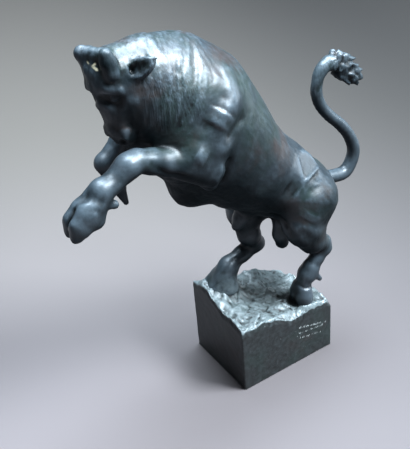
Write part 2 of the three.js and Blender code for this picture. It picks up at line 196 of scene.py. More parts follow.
def makeMesh(name, points, quads, marks):
    # Points in millimetres become a mesh in metres, with one named value for each point in marks
    mesh = bpy.data.meshes.new(name)
    mesh.vertices.add(len(points))
    mesh.vertices.foreach_set("co", (points * millimetre).astype(np.float32).ravel())
    mesh.loops.add(quads.size)
    mesh.loops.foreach_set("vertex_index", quads.astype(np.int32).ravel())
    mesh.polygons.add(len(quads))
    mesh.polygons.foreach_set("loop_start", np.arange(0, quads.size, 4, dtype=np.int32))
    mesh.polygons.foreach_set("use_smooth", np.ones(len(quads), bool))
    mesh.update(calc_edges=True)
    mesh.validate()
    for mark, values in marks.items():
        layer = mesh.attributes.new(mark, "FLOAT", "POINT")
        layer.data.foreach_set("value", values.astype(np.float32))
    piece = bpy.data.objects.new(name, mesh)
    bpy.context.scene.collection.objects.link(piece)
    return piece


class Clay:
    # Signed distance on a grid in millimetres, negative inside the form
    def __init__(self, low, high, cell):
        self.low = np.array(low, float)
        self.cell = cell
        self.count = np.ceil((np.array(high) - self.low) / cell).astype(int) + 1
        self.values = np.full(self.count, 99, np.float32)

    def window(self, start, end):
        # The grid points in a box, and their three coordinates
        first = np.maximum(0, np.floor((start - self.low) / self.cell)).astype(int)
        last = np.minimum(self.count, np.ceil((end - self.low) / self.cell).astype(int) + 1)
        cut = tuple(slice(a, max(a, b)) for a, b in zip(first, last))
        spread = [(self.low[k] + self.cell * np.arange(cut[k].start, cut[k].stop)).astype(np.float32) for k in range(3)]
        return cut, np.meshgrid(*spread, indexing="ij", sparse=True)

    def bar(self, a, ra, b, rb, blend, side=None, wide=1, cut=False):
        # Distance to the line from a to b, less a radius from ra to rb; along side it is wider by wide. It joins
        # the form, or cuts it, with a soft step of width blend: the nearer value less (blend - gap)^2 / (4 blend)
        a, b = np.array(a, float), np.array(b, float)
        reach = max(ra, rb) * max(1, wide) + blend + 3 * self.cell
        window, (x, y, z) = self.window(np.minimum(a, b) - reach, np.maximum(a, b) + reach)
        run = b - a
        x, y, z = x - a[0], y - a[1], z - a[2]
        along = np.clip((x * run[0] + y * run[1] + z * run[2]) / max(1e-6, run @ run), 0, 1)
        x, y, z = x - along * run[0], y - along * run[1], z - along * run[2]
        square = x * x + y * y + z * z
        if side is not None:
            aside = x * side[0] + y * side[1] + z * side[2]
            square = square + (aside / wide) ** 2 - aside ** 2
        away = (np.sqrt(np.maximum(0, square)) - ra - (rb - ra) * along) * (min(1, wide) if side is not None else 1)
        old = self.values[window]
        other = -away if cut else away
        melt = np.maximum(blend - np.abs(old - other), 0) ** 2 / (4 * blend)
        self.values[window] = np.maximum(old, other) + melt if cut else np.minimum(old, other) - melt

    def limb(self, stations, blend, start=None, side=None, wide=1, cut=False):
        # Bars from station to station, each station x, y, z and radius; the first one melts in by start
        for k, (a, b) in enumerate(zip(stations, stations[1:])):
            self.bar(a[:3], a[3], b[:3], b[3], start if k == 0 and start else blend, side, wide, cut)

    def settle(self, turns=20, nudge=0.05):
        # Where the form only touches itself across a cell, the faintest of the cell's eight values changes side, to
        # nudge times the cell. A cell is whole when its corners inside hang together, and those outside too
        whole = np.zeros(256, bool)
        for mask in range(256):
            parts, seen = 0, set()
            for c in range(8):
                waiting = [c] if c not in seen else []
                parts += len(waiting)
                while waiting:
                    a = waiting.pop()
                    if a in seen:
                        continue
                    seen.add(a)
                    waiting += [a ^ bit for bit in (1, 2, 4) if (mask >> a & 1) == (mask >> (a ^ bit) & 1)]
            whole[mask] = parts <= 2
        nx, ny, nz = self.count
        for turn in range(turns):
            inside = self.values < 0
            mask = np.zeros((nx - 1, ny - 1, nz - 1), np.uint8)
            for c, (i, j, k) in enumerate(cellCorners):
                mask |= inside[i:nx - 1 + i, j:ny - 1 + j, k:nz - 1 + k].astype(np.uint8) << c
            bad = np.argwhere(~whole[mask])
            if len(bad) == 0:
                break
            near = bad[:, None, :] + cellCorners[None]
            faint = np.abs(self.values[near[..., 0], near[..., 1], near[..., 2]]).argmin(1)
            place = tuple(near[np.arange(len(bad)), faint].T)
            self.values[place] = np.where(self.values[place] < 0, nudge, -nudge) * self.cell

    def skin(self):
        # A point in every cell the surface passes, at the mean of its crossings, and a four-sided face round
        # every grid edge that the surface crosses
        nx, ny, nz = self.count
        inside = self.values < 0
        full = np.zeros((nx - 1, ny - 1, nz - 1), np.int8)
        for i, j, k in cellCorners:
            full += inside[i:nx - 1 + i, j:ny - 1 + j, k:nz - 1 + k]
        cells = np.argwhere((full > 0) & (full < 8))
        number = np.full((nx - 1, ny - 1, nz - 1), -1, np.int64)
        number[tuple(cells.T)] = np.arange(len(cells))
        values = np.stack([self.values[tuple((cells + c).T)] for c in cellCorners], 1).astype(float)
        total, hits = np.zeros((len(cells), 3)), np.zeros(len(cells))
        for p in range(8):
            for bit in (4, 2, 1):
                if p & bit:
                    continue
                a, b = values[:, p], values[:, p | bit]
                crossed = (a < 0) != (b < 0)
                t = np.where(crossed, a / np.where(crossed, a - b, 1), 0)
                start, way = cellCorners[p], cellCorners[p | bit] - cellCorners[p]
                total += np.where(crossed[:, None], start + t[:, None] * way, 0)
                hits += crossed
        points = self.low + self.cell * (cells + total / hits[:, None])
        faces = []
        for axis in range(3):
            u, v = (axis + 1) % 3, (axis + 2) % 3
            here, there = [slice(1, -1)] * 3, [slice(1, -1)] * 3
            here[axis], there[axis] = slice(0, -1), slice(1, None)
            a, b = inside[tuple(here)], inside[tuple(there)]
            stepU, stepV = np.eye(3, dtype=int)[u], np.eye(3, dtype=int)[v]
            for outward, crossed in ((True, a & ~b), (False, ~a & b)):
                e = np.argwhere(crossed) + stepU + stepV
                ring = [e - stepU - stepV, e - stepV, e, e - stepU]
                face = np.stack([number[tuple(r.T)] for r in ring], 1)
                faces.append(face if outward else face[:, ::-1])
        return points, np.concatenate(faces)

    def at(self, points):
        # The distance at any place, blended between the eight grid values round it
        q = np.clip((points - self.low) / self.cell, 0, self.count - 1.001)
        base = q.astype(int)
        f = q - base
        total = np.zeros(len(points))
        for corner in cellCorners:
            total += np.prod(np.where(corner, f, 1 - f), axis=1) * self.values[tuple((base + corner).T)]
        return total

    def onto(self, points):
        # One step along the slope of the distance to the surface itself, half a cell at most
        step = 0.6 * self.cell
        rises = [self.at(points + step * axis) - self.at(points - step * axis) for axis in np.eye(3)]
        slope = np.stack(rises, 1) / (2 * step)
        steep = np.maximum((slope ** 2).sum(1), 0.25)
        move = self.at(points) / steep
        return points - np.clip(move, -0.5 * self.cell, 0.5 * self.cell)[:, None] * slope


# The figure, in millimetres in the part's frame
figure = {
    "low": (-236.4, -71.3, 51.7), "high": (146, 72, 424), "cell": 1.56,   # the clay grid and its fineness
    "nearFoot": (33, -28), "nearLevel": 65, "farFoot": (-41, 25), "farLevel": 86,
    "tread": 0.3, "treadReach": (30, 24), "treadTop": 14,   # space left under a hind hoof, and where it is cut
    "soleBelow": 90,          # what faces down under this height keeps its shape
    "bothFrom": -95, "bothAbove": 150,   # modelling wholly behind and above these is on both flanks
    "hairReach": 17,          # how far each place of the hair's lie counts
    "coarseHair": (3.4, 22, 3), "fineHair": (2.1, 12, 8),   # width, length and seed of the strands
    "coarseCut": 0.4, "fineRise": 0.26,   # how deep they go for each millimetre of the lie's depth
    "hairLeft": 0.2,          # coarse noise under this cuts nothing
    "lumpGrains": ((0.35, 13, 5), (0.22, 6, 6)), "lumpDabs": ((0.35, 9, 21),), "lumpRise": 0.26,
    "foreLegsFrom": (-92, -104), "foreLegsUnder": (335, 322), "hindLegsUnder": (165, 150),   # where the legs begin
    "legCalm": 0.7,           # how much less lumpy they are
    "facingDown": (0.42, -0.4),   # upward part of the normal where the painted shade starts, and is full
    "proud": (6, 0.35), "broad": (60, 2.5),   # turns of averaging, and the height that counts as full
    "moundDustAndSheen": ((-35, 14, 84), 15, 1.5),    # place, reach and strength of the ground's pale tone on the far foot, dust and partly a painted sheen
    "longHair": (0.35, 0.8),  # depth of hair from which the finish shows strands, and shows them fully
    "boxMargin": 1.2,
}
across = (0, 1, 0)


def modelTrunk(clay):
    # Barrel, neck, brisket, rump and shoulders
    clay.limb([(46, 0, 188, 34), (18, 0, 213, 37), (-18, 0, 246, 44.5), (-45, 0, 282, 53), (-70, 0, 318, 58),
               (-92, -1, 345, 49)], 14, 1, across, 0.86)
    clay.bar((-92, -1, 345), 49, (-118, -4, 366), 34, 14, across, 0.72)
    clay.bar((-118, -4, 366), 34, (-134, -6, 373), 26, 10, across, 0.8)
    clay.bar((-62, 0, 262), 34, (-72, 0, 242), 22, 12, across, 0.8)
    clay.bar((56, 0, 183), 26, (62, 0, 166), 19, 14, across, 1.15)
    for s in (-1, 1):
        clay.bar((28, s * 20, 212), 20, (46, s * 22, 190), 25, 14)
        clay.bar((50, s * 18, 212), 7, (60, s * 20, 198), 7, 8)


def modelHindLegs(clay):
    # Near leg: thigh, hock, cannon, fetlock, and a hoof like a ball of two claws with dewclaws behind
    clay.bar((40, -24, 190), 29, (31, -31, 170), 21, 12)
    clay.bar((50, -22, 180), 22, (44, -28, 156), 15, 12)
    clay.limb([(31, -33, 158, 15.5), (42, -32, 142, 13), (59, -29, 129, 8.5)], 6, 10)
    clay.bar((60, -29, 131), 7, (60, -29, 123), 9, 3)
    clay.limb([(58, -29, 121, 7.6), (51, -29, 113, 7.2), (43, -29, 106, 7.6)], 4)
    clay.limb([(43, -29, 103, 9.2), (39, -28, 97, 9.6), (36, -28, 90, 8)], 4)
    clay.bar((35, -28, 92), 7.5, (33, -28, 82), 7.5, 2.5)
    for s in (-1, 1):
        clay.limb([(32, -28 + s * 3.6, 83, 8.2), (31, -28 + s * 4.4, 75, 9.2), (31, -28 + s * 4.6, 68, 9)], 2, 2.5)
        clay.bar((46, -28 + s * 5, 95), 3.8, (51, -28 + s * 5.5, 88), 2.8, 3)
    # Far leg, its foot sunk in the mound
    clay.bar((34, 22, 186), 28, (8, 30, 166), 22, 12)
    clay.bar((0, 27, 160), 15, (3, 22, 136), 11.5, 8)
    clay.bar((3, 22, 136), 11.5, (9, 22, 122), 9, 5)
    clay.bar((14, 22, 121), 6, (17, 22, 116), 4, 5)
    clay.limb([(10, 22, 121, 8.5), (-6, 23, 115, 8.2), (-22, 23, 109, 9)], 5)
    clay.limb([(-24, 23, 107, 11), (-33, 24, 98, 10)], 4)
    for s in (-1, 1):
        clay.limb([(-34, 25 + s * 5, 97, 7.5), (-43, 25 + s * 5.5, 88, 9)], 2, 4)


def modelFootFlow(clay):
    # Where the far foot widens into the mound it stands in
    clay.bar((-29, 21, 106), 8.6, (-33, 15, 84), 13.5, 6)
    clay.bar((-34, 20, 98), 9, (-44, 24, 84), 10, 6)


def modelForeLegs(clay):
    # Shoulders, the near leg held out straight, and the far leg folded under
    for s in (-1, 1):
        clay.bar((-58, s * 27, 332), 22, (-88, s * 33, 300), 22, 12)
    clay.bar((-88, -37, 298), 19, (-80, -43, 285), 13, 10)
    clay.bar((-72, -43, 304), 15, (-78, -42, 268), 7.5, 7)
    clay.limb([(-82, -44, 285, 13.8), (-118, -41, 304, 10.8), (-132, -41, 311, 10), (-144, -40, 316, 9.2)], 6, 8)
    clay.limb([(-144, -41, 316.5, 9.4), (-152, -42, 316, 10.2), (-158, -42, 312, 9.4)], 4, 5)
    clay.limb([(-156, -41, 312, 9), (-170, -43, 306.5, 8.4), (-178, -44, 304, 8.8)], 5, 7)
    clay.bar((-181, -45, 305.5), 10, (-185, -46, 300), 9.6, 6)
    for s in (-1, 1):
        y = -45 + s * 5.2
        clay.limb([(-189, y, 298, 8.6), (-197, y, 291, 10.8), (-205, y, 284, 10.5), (-210, y, 277, 6.8)], 2.5, 6,
                  across, 0.74)
        clay.limb([(-189, y, 290, 7.8), (-192, y, 285, 9.2)], 2.5, 3, across, 0.75)
        clay.bar((-180, -44 + s * 5, 294), 4.2, (-173, -44 + s * 5.6, 291), 3.8, 2.5)
    clay.bar((-92, 34, 300), 20, (-84, 42, 304), 17, 10)
    clay.limb([(-84, 40, 303, 16), (-116, 38, 290, 10.5), (-138, 35, 277, 8.2)], 6, 8)
    clay.limb([(-140, 35, 275, 9), (-136, 33, 262, 6.6), (-131, 31, 250, 7)], 4)
    clay.limb([(-131, 31, 248, 6.8), (-127, 28, 231, 2.8)], 3)


# Tail from rump to tip, each station a place and a radius
tailLine = np.array([
    (76, 0, 186, 8), (96, 0, 180, 7), (112, 0, 179, 6.8), (121, 0, 190, 6.5), (123, 0, 204, 6.3), (116, 0, 222, 6),
    (104, 0, 239, 5.8), (91, 0, 253, 5.6), (80, 0, 268, 5.5), (75, 0, 283, 5.5), (76, 0, 297, 5.6),
    (82, 0, 307, 6.2), (92, 0, 311, 7)], float)

# Curled locks of its tuft on the right, each from a station at the root to one at the tip, and the gaps between
tuftLocks = [
    ((99, 5, 317, 3.4), (91, 7, 306, 1.8)), ((106, 5, 314, 3.2), (97, 8, 303, 1.8)),
    ((107, 3, 311, 3.6), (119, 4, 307.5, 1.4)), ((110, 6, 304, 3.4), (122, 5, 299, 1.6)),
    ((105, 7, 300, 3.2), (113, 8, 292, 1.8)), ((118, 4, 295, 3.6), (128, 3, 292, 1.5)),
    ((123, 3, 288, 3.6), (130, 2, 283, 1.6)), ((116, 6, 287, 3.6), (124, 3, 277.5, 1.5)),
    ((101, 5, 295, 3.4), (110, 6, 284, 2)),
]
tuftGaps = [((113, 9, 300, 2.6), (107, 9, 297, 1.6)), ((121, 8, 291, 2.4), (116, 9, 294, 1.4))]


def modelTail(clay):
    # Tail up in an S, its tuft the same on both sides, and the scrotum and the sheath
    clay.limb([(28, -1, 152, 9.5), (26, -2, 140, 8.5), (27, -2, 129, 7)], 4, 7)
    clay.limb([(-12, 0, 192, 11), (-20, 0, 180, 7.5), (-26, 0, 173, 5.2)], 6, 8)
    clay.limb(smoothLine(tailLine, 3), 1.5, 8)
    clay.limb([(92, 0, 311, 6.6), (104, 0, 304, 8.4), (117, 0, 293, 7.4), (126, 0, 284, 4.4)], 3)
    clay.bar((104, 0, 296), 7.4, (117, 0, 286), 6.4, 4)
    for s in (-1, 1):
        for pairs, blend, cut in ((tuftLocks, 1.2, False), (tuftGaps, 1, True)):
            for pair in pairs:
                clay.limb(np.array(pair) * (1, s, 1, 1), blend, cut=cut)


def smoothLine(stations, parts):
    # Each run between stations split in parts on a cubic that leaves and meets stations along their neighbours'
    # chord
    padded = np.concatenate([stations[:1], stations, stations[-1:]])
    p0, p1, p2, p3 = (padded[k:len(padded) - 3 + k, None, :] for k in range(4))
    t = (np.arange(parts) / parts)[None, :, None]
    bend, twist = 2 * p0 - 5 * p1 + 4 * p2 - p3, 3 * p1 - p0 - 3 * p2 + p3
    inner = 0.5 * (2 * p1 + (p2 - p0) * t + bend * t ** 2 + twist * t ** 3)
    return np.concatenate([inner.reshape(-1, stations.shape[1]), stations[-1:]])


# The head has its own frame: a along the face to the muzzle, b to the bull's left, c out of the forehead
headPose = {"poll": (-158, -8, 402), "yaw": 16.7, "pitch": 94, "lean": -6.5}


def headFrame(pose):
    # Down and level axes from yaw and pitch, out across them, and the lean turns face and left together
    yaw, pitch, lean = (math.radians(pose[key]) for key in ("yaw", "pitch", "lean"))
    down = np.array([-math.cos(yaw) * math.cos(pitch), -math.sin(yaw) * math.cos(pitch), -math.sin(pitch)])
    level = np.array([math.sin(yaw), -math.cos(yaw), 0])
    out = np.cross(down, level)
    face = math.cos(lean) * down - math.sin(lean) * level
    left = math.cos(lean) * level + math.sin(lean) * down
    return np.array(pose["poll"], float), face, left, out


pollPoint, faceAxis, leftAxis, outAxis = headFrame(headPose)


def inHead(a, b, c):
    # The poll's place plus a, b and c along the head's axes
    return pollPoint + a * faceAxis + b * leftAxis + c * outAxis


def headLimb(clay, stations, *rest, **more):
    # A limb whose stations are given in the head's frame
    clay.limb([(*inHead(a, b, c), radius) for a, b, c, radius in stations], *rest, **more)


def modelHead(clay):
    # Skull, nose, jaws, muzzle, the poll ridge and the broad forehead
    at = inHead
    clay.bar(at(19, 0, -18), 16, at(34, 0, -19), 16.5, 6, leftAxis, 1.1)
    clay.bar(at(34, 0, -18), 15.5, at(70, 0, -13), 9.5, 8)
    clay.bar(at(44, 0, -25), 10, at(74, 0, -20), 7.5, 8)
    clay.bar(at(71, 0, -10), 9.5, at(77, 0, -12), 9.5, 5, leftAxis, 1.25)
    clay.bar(at(74, 0, -22), 7.5, at(79, 0, -20), 6.5, 4, leftAxis, 1.15)
    clay.bar(at(3, -14, -8), 6, at(3.5, 7, -11), 5.2, 5)
    clay.bar(at(8, -14, -9), 6.5, at(24, -12.5, -9), 6.5, 4)
    clay.bar(at(14, -6, -6), 7, at(24, 4, -6), 7, 5)
    for s in (-1, 1):
        clay.bar(at(26, s * 12, -34), 11, at(42, s * 9, -29), 9.5, 8)
        # Brow ridge over a broad hollow with the eye in it, and the ridge of the cheek
        headLimb(clay, [(25, s * 3, -2, 4), (28, s * 10.5, -4, 4.4), (31, s * 17, -9, 4.2)], 3)
        clay.bar(at(37, s * 8, 5), 6.2, at(41, s * 18, -3), 6.4, 3, cut=True)
        clay.bar(at(45, s * 15.5, -1.5), 5, at(49, s * 14, -1.5), 4, 3, cut=True)
        clay.bar(at(37, s * 10.8, -5.8), 3.4, at(38, s * 11.2, -6), 3.4, 1)
        clay.bar(at(34.5, s * 9.5, -4.2), 1.6, at(36, s * 16, -8.2), 1.6, 1.5)
        clay.bar(at(52, s * 9, -12), 4, at(62, s * 7, -9), 3.5, 5)
        clay.bar(at(43, s * 18, -16), 5, at(58, s * 13, -18), 4, 6)
        # Muzzle: a puffed nostril rim, and the nostril
        clay.bar(at(70, s * 9.5, -7), 4.2, at(75, s * 8.5, -5.5), 3.8, 3)
        clay.bar(at(76.5, s * 8.5, -2.5), 2, at(81, s * 6.5, -5), 3, 1.5, cut=True)
        # Ear: a leaf held out sideways, flattened along leafOut, hollow in front
        leafOut = -0.48 * faceAxis + s * 0.24 * leftAxis + 0.845 * outAxis
        headLimb(clay, [(25, s * 15, -25, 6), (20, s * 26.5, -26, 8.2), (17, s * 33, -29, 6.2),
                        (12.5, s * 40.5, -33.5, 1.2)], 2, 2, leafOut, 0.5)
        headLimb(clay, [(19.4, s * 22.7, -21.6, 4), (18.1, s * 27.4, -22.5, 5.9), (15.2, s * 33.8, -25.6, 4.3),
                        (13, s * 38, -29.6, 1.2)], 1, 1.2, leafOut, 0.55, cut=True)
    # Horn stubs: the left one, the groove between it and the poll, and the short right one
    headLimb(clay, [(16, 14, -8, 7.2), (7, 14, -7, 6.6), (0, 14, -7, 5.4)], 2, 3)
    clay.bar(at(-3, 7, -1.5), 2.2, at(9, 6.6, -1), 2.4, 2, cut=True)
    clay.bar(at(6, -13, -8), 5.6, at(2, -15.5, -6), 4.5, 4)


def makeFigureClay(look):
    # The parts one after another, then a flat tread under each hind hoof: nothing below the level plus the tread
    clay = Clay(look["low"], look["high"], look["cell"])
    modelTrunk(clay)
    modelHindLegs(clay)
    modelFootFlow(clay)
    modelForeLegs(clay)
    modelTail(clay)
    modelHead(clay)
    for foot, level in ((look["nearFoot"], look["nearLevel"]), (look["farFoot"], look["farLevel"])):
        foot, reach = np.array(foot, float), np.array(look["treadReach"])
        start, end = np.append(foot - reach, look["low"][2]), np.append(foot + reach, level + look["treadTop"])
        window, (x, y, z) = clay.window(start, end)
        clay.values[window] = np.maximum(clay.values[window], level + look["tread"] - z)
    clay.settle()
    return clay


# Lie of the hair: place, direction, and depth in mm. Both flanks take it, turned over with the side.
hairLie = {
    "crest": ((-80, 6, 395), (-0.45, 0.85, -0.3), 0.5), "neckFront": ((-112, 30, 385), (-0.2, 0.4, -0.9), 0.8),
    "neckSide": ((-106, 38, 362), (-0.2, 0.2, -1), 0.95), "neckLow": ((-112, 36, 338), (-0.15, 0, -1), 0.9),
    "neckBack": ((-84, 42, 362), (-0.5, 0.3, -0.8), 0.6), "shoulder": ((-60, 46, 345), (-0.4, 0.1, -0.9), 0.22),
    "withers": ((-45, 10, 368), (0.6, 0.3, -0.6), 0.25), "chest": ((-90, 12, 285), (0.2, 0, -1), 0.4),
    "barrel": ((-35, 44, 290), (0.6, 0, -0.8), 0.2), "back": ((0, 8, 285), (0.7, 0.1, -0.7), 0.22),
    "belly": ((-30, 20, 215), (0.7, 0, -0.7), 0.25), "haunch": ((40, 44, 195), (0.3, 0, -1), 0.2),
    "thigh": ((25, 45, 165), (0.2, 0, -1), 0.25), "rump": ((70, 5, 200), (0.3, 0, -1), 0.25),
    "shank": ((45, 30, 110), (-0.3, 0, -0.9), 0.2), "farShank": ((-15, 24, 112), (-1, 0, -0.2), 0.3),
    "forearm": ((-115, 42, 300), (-0.9, 0, 0.4), 0.1), "forearmTop": ((-104, 48, 312), (-0.9, 0, 0.4), 0.05),
    "elbow": ((-84, 54, 300), (-0.9, 0, 0.4), 0.05), "knee": ((-140, 44, 318), (-0.9, 0, 0.4), 0.05),
    "foreFoot": ((-190, 45, 295), (-0.7, 0, -0.7), 0.15),
    "tailRoot": ((100, 2, 180), (1, 0, 0.1), 0.2), "tailBend": ((122, 2, 200), (0, 0, 1), 0.2),
    "tailRise": ((95, 2, 250), (-0.6, 0, 0.8), 0.2), "tailCrest": ((80, 2, 305), (0.6, 0, 0.6), 0.5),
    "tuft": ((112, 2, 300), (0.8, 0.1, -0.7), 1.3), "forehead": ((-155, 8, 395), (-0.1, 0.1, -1), 0.5),
    "face": ((-145, 15, 350), (-0.1, 0, -1), 0.2), "cheek": ((-130, 28, 362), (0.1, 0, -1), 0.3),
}

# Modelled ridges and grooves: the line, its width, and how far it rises (grooves are below nothing), in mm
modelling = {
    "bladeRidge": (((-56, -33, 365), (-73, -43, 357), (-89, -47, 343)), 9, 1.7),
    "bladeGroove": (((-53, -46, 349), (-77, -50, 339), (-89, -52, 323)), 6, -1.7),
    "shoulderSwell": (((-45, -24, 367), (-47, -35, 358), (-54, -49, 343), (-69, -53, 331)), 10, 2.6),
    "shoulderBall": (((-64, -51, 338), (-75, -53, 327)), 11, 3.0),
    "shoulderBack": (((-30, -30, 350), (-36, -44, 334), (-48, -53, 316)), 10, -1.1),
    "maneEdge": (((-72, -22, 386), (-77, -34, 374), (-90, -43, 352), (-103, -44, 335)), 3.2, -1.4),
    "elbowEdge": (((-74, -58, 291), (-80, -57, 279), (-80, -50, 268)), 2.2, 1.8),
    "elbowHollow": (((-62, -54, 292), (-64, -46, 276), (-67, -38, 260)), 5, -3.2),
    "armpit": (((-70, -58, 292), (-52, -51, 276)), 3, -1.4),
    "armSwell": (((-97, -55, 311), (-88, -57, 302)), 7, 2.0),
    "armLine": (((-88, -57, 315), (-95, -57, 308), (-93, -58, 300)), 2, 0.6),
    "forearmGroove": (((-136, -50, 315), (-124, -52, 301), (-104, -54, 290)), 2.6, -1.5),
    "pasternNeck": (((-196, -41, 308), (-191, -53, 306), (-184, -57, 299)), 4.5, -1.7),
    "coronet": (((-207, -42, 300), (-199, -51, 303), (-191, -58, 301), (-186, -58, 295)), 2.6, 0.5),
    "hoofCleft": (((-204, -44, 300), (-211, -46, 295), (-216, -46, 285)), 1.6, -2.2),
    "heelBulb": (((-196, -59, 296), (-194, -59, 293)), 3.2, 1.2),
    "kneeHollow": (((-150, -52, 306), (-160, -51, 303)), 4, -1.6),
    "flankLine": (((-68, -56, 312), (-54, -54, 320), (-38, -50, 322)), 5, -1.4),
    "ribOne": (((-44, -38, 318), (-46, -50, 290), (-52, -42, 262)), 6, -0.9),
    "ribTwo": (((-24, -36, 298), (-30, -46, 272), (-38, -40, 246)), 6, -0.8),
    "ribThree": (((-6, -32, 278), (-14, -42, 254), (-24, -36, 230)), 6, -0.8),
    "bellyLine": (((-50, -44, 246), (-26, -36, 214), (-6, -28, 196)), 5, -1.0),
    "flankFold": (((-8, -24, 190), (4, -26, 182), (12, -34, 172), (14, -40, 160)), 4.5, -2.8),
    "flankHollow": (((8, -36, 222), (18, -41, 212)), 9, -2.6),
    "hipEdge": (((55, -27, 221), (27, -40, 222)), 2.2, 1.7),
    "hipHollow": (((54, -36, 212), (30, -46, 212)), 7, -1.3),
    "hipSide": (((31, -24, 243), (26, -39, 223)), 2.6, 1.1),
    "thighSwell": (((30, -52, 190), (24, -50, 182)), 12, 1.2),
    "thighGroove": (((46, -47, 198), (48, -46, 180), (42, -46, 162)), 7, -1.2),
    "stifle": (((14, -48, 176), (24, -50, 164), (40, -44, 150)), 5, -1.4),
    "hockCord": (((60, -30, 138), (50, -36, 150)), 3, 1.4),
    "flowStreakOne": (((-33, 14.6, 109), (-36, 10, 96), (-39.5, 5, 83)), 1.8, 1.5),
    "flowStreakTwo": (((-30, 13, 107), (-32, 8, 96), (-34.5, 2, 83)), 1.6, 1.2),
    "flowStreakThree": (((-36, 17, 107), (-40, 13, 96), (-44, 8, 83)), 1.6, 1.2),
    "ballCrown": (((24, -30, 91), (30, -38, 88), (40, -38, 87), (45, -30, 87)), 2.2, -1.6),
}

# Planes pressed flat: middle, direction faced, reach
flats = {"hipPlane": ((42, -28.5, 230), (0.35, -0.78, 0.51), 21)}


def modelRelief(points, look):
    # Ridges and grooves: each adds its rise times exp(-(distance / width)^2), down to a quarter at the ends of its
    # line. Both flanks take those of the trunk, and the near side alone takes the rest
    height = np.zeros(len(points))
    for line, width, rise in modelling.values():
        for s in (1, -1):
            path = np.array(line, float) * (1, s, 1)
            if s < 0 and (path[:, 0].min() < look["bothFrom"] or path[:, 2].min() < look["bothAbove"]):
                continue
            away, part = fromLine(points, path)
            fade = smoothStep(-0.02, 0.2, part) * smoothStep(-0.02, 0.2, 1 - part)
            height += rise * np.exp(-(away / width) ** 2) * (0.25 + 0.75 * fade)
    return height


def pressFlats(points, normals):
    # Within a plane's reach and facing its way, points are drawn most of the way onto the plane
    for middle, direction, reach in flats.values():
        for s in (1, -1):
            facing = np.array(direction) * (1, s, 1) / np.linalg.norm(direction)
            off = points - np.array(middle) * (1, s, 1)
            hold = 1 - smoothStep(0.55 * reach, reach, np.linalg.norm(off, axis=1))
            hold = hold * smoothStep(0.2, 0.6, normals @ facing)
            points = points - (0.85 * hold * (off @ facing))[:, None] * facing
    return points


def hairOn(points, normals, look):
    # Direction and depth blended from the lie's places by nearness, exp(-distance^2 / (2 reach^2)), and the
    # direction laid along the surface
    side = np.sign(points[:, 1]) + (points[:, 1] == 0)
    folded = foldedOver(points)
    lie, depth, weight = np.zeros_like(points), np.zeros(len(points)), np.full(len(points), 1e-9)
    for place, direction, rise in hairLie.values():
        near = bell(folded, place, math.sqrt(2) * look["hairReach"]) + 1e-7
        lie += near[:, None] * np.array(direction)
        depth += near * rise
        weight += near
    lie[:, 1] *= side
    lie -= (lie * normals).sum(1, keepdims=True) * normals
    lie /= np.maximum(np.linalg.norm(lie, axis=1, keepdims=True), 1e-6)
    return lie, depth / weight


# Bare metal where the patina is scratched through, and a painted highlight on the brow (the brow spot) in the same
# bare colour: line and width in mm
scratches = {
    "forehead": (((-155.6, -3, 394.3), (-155, -6.4, 392.8), (-154.3, -9.8, 391.7), (-153.6, -13.1, 390.5)), 1.3),
    "foreheadCross": (((-155.5, -6.7, 390.5), (-153.7, -9.2, 393.4), (-152.6, -12.1, 396.2)), 1.1),
    "browSpot": (((-149, -22, 384), (-148, -23, 382)), 1.0),
    "browFar": (((-159, -7, 378), (-158, -8, 376)), 1.2),
}


def bareOn(points):
    # 1 on a scratch or on the painted brow highlight, falling off as exp(-(distance / width)^2)
    bare = np.zeros(len(points))
    for line, width in scratches.values():
        bare = np.maximum(bare, np.exp(-(fromLine(points, line)[0] / width) ** 2))
    return bare


# Painted shade: dark, dull patches: place, reach in mm, strength; both sides take them
shadePatches = {
    "hornFront": ((-149, 24, 398), 11, 1.0), "earHollow": ((-119, 31, 388), 6, 0.5),
    "temple": ((-137, 28, 380), 8, 0.6), "eyeHollow": ((-149, 21, 362), 9, 0.2),
    "earRoot": ((-134, 27, 382), 8, 0.95), "nostrils": ((-145, 21, 328), 8, 0.75),
    "chin": ((-130, 27, 327), 9, 0.8), "throat": ((-113, 40, 337), 13, 0.8),
    "forearmBelow": ((-130, 53, 307), 14, 1.0), "forearmSide": ((-112, 55, 300), 13, 0.95),
    "chest": ((-84, 22, 250), 26, 0.9), "groin": ((0, 20, 190), 24, 0.8),
    "haunchSide": ((48, 46, 188), 25, 0.9), "fetlockTop": ((-172, 44, 312), 12, 0.55),
}

# Places where the painted shade is lifted, read like the shade patches
shadeLifts = {
    "face": ((-152, 21, 348), 14, 0.5), "brow": ((-153, 20, 374), 9, 0.6), "forehead": ((-156, 6, 388), 12, 0.5),
    "hoofBall": ((40, 38, 76), 15, 0.8), "foreHoof": ((-205, 52, 291), 13, 0.6),
    "shoulder": ((-70, 52, 333), 12, 0.8),
}


def shadeOn(points, normals, quads, look, turns=6):
    # Painted shade: 1 where the surface faces down, 0 where it faces up, evened out over some turns and less at the
    # lifted places, or the strength of the nearest shade patch
    down = smoothStep(*look["facingDown"], normals[:, 2])
    for turn in range(turns):
        down = neighbourMean(down, quads)
    folded = foldedOver(points)
    for place, reach, strength in shadeLifts.values():
        down = down * (1 - strength * bell(folded, place, reach))
    for place, reach, strength in shadePatches.values():
        down = np.maximum(down, strength * bell(folded, place, reach))
    return down


def within(points, node, margin):
    # Points past the node's box, less a margin, are drawn back: margin * (1 - exp(-excess / margin)) of it is kept
    low, high = (np.array(corner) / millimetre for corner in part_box(node))
    over = np.maximum(0, points - (high - margin))
    short = np.maximum(0, low + margin - points)
    keptOver, keptShort = (margin * (1 - np.exp(-excess / margin)) for excess in (over, short))
    return points - over + keptOver + short - keptShort


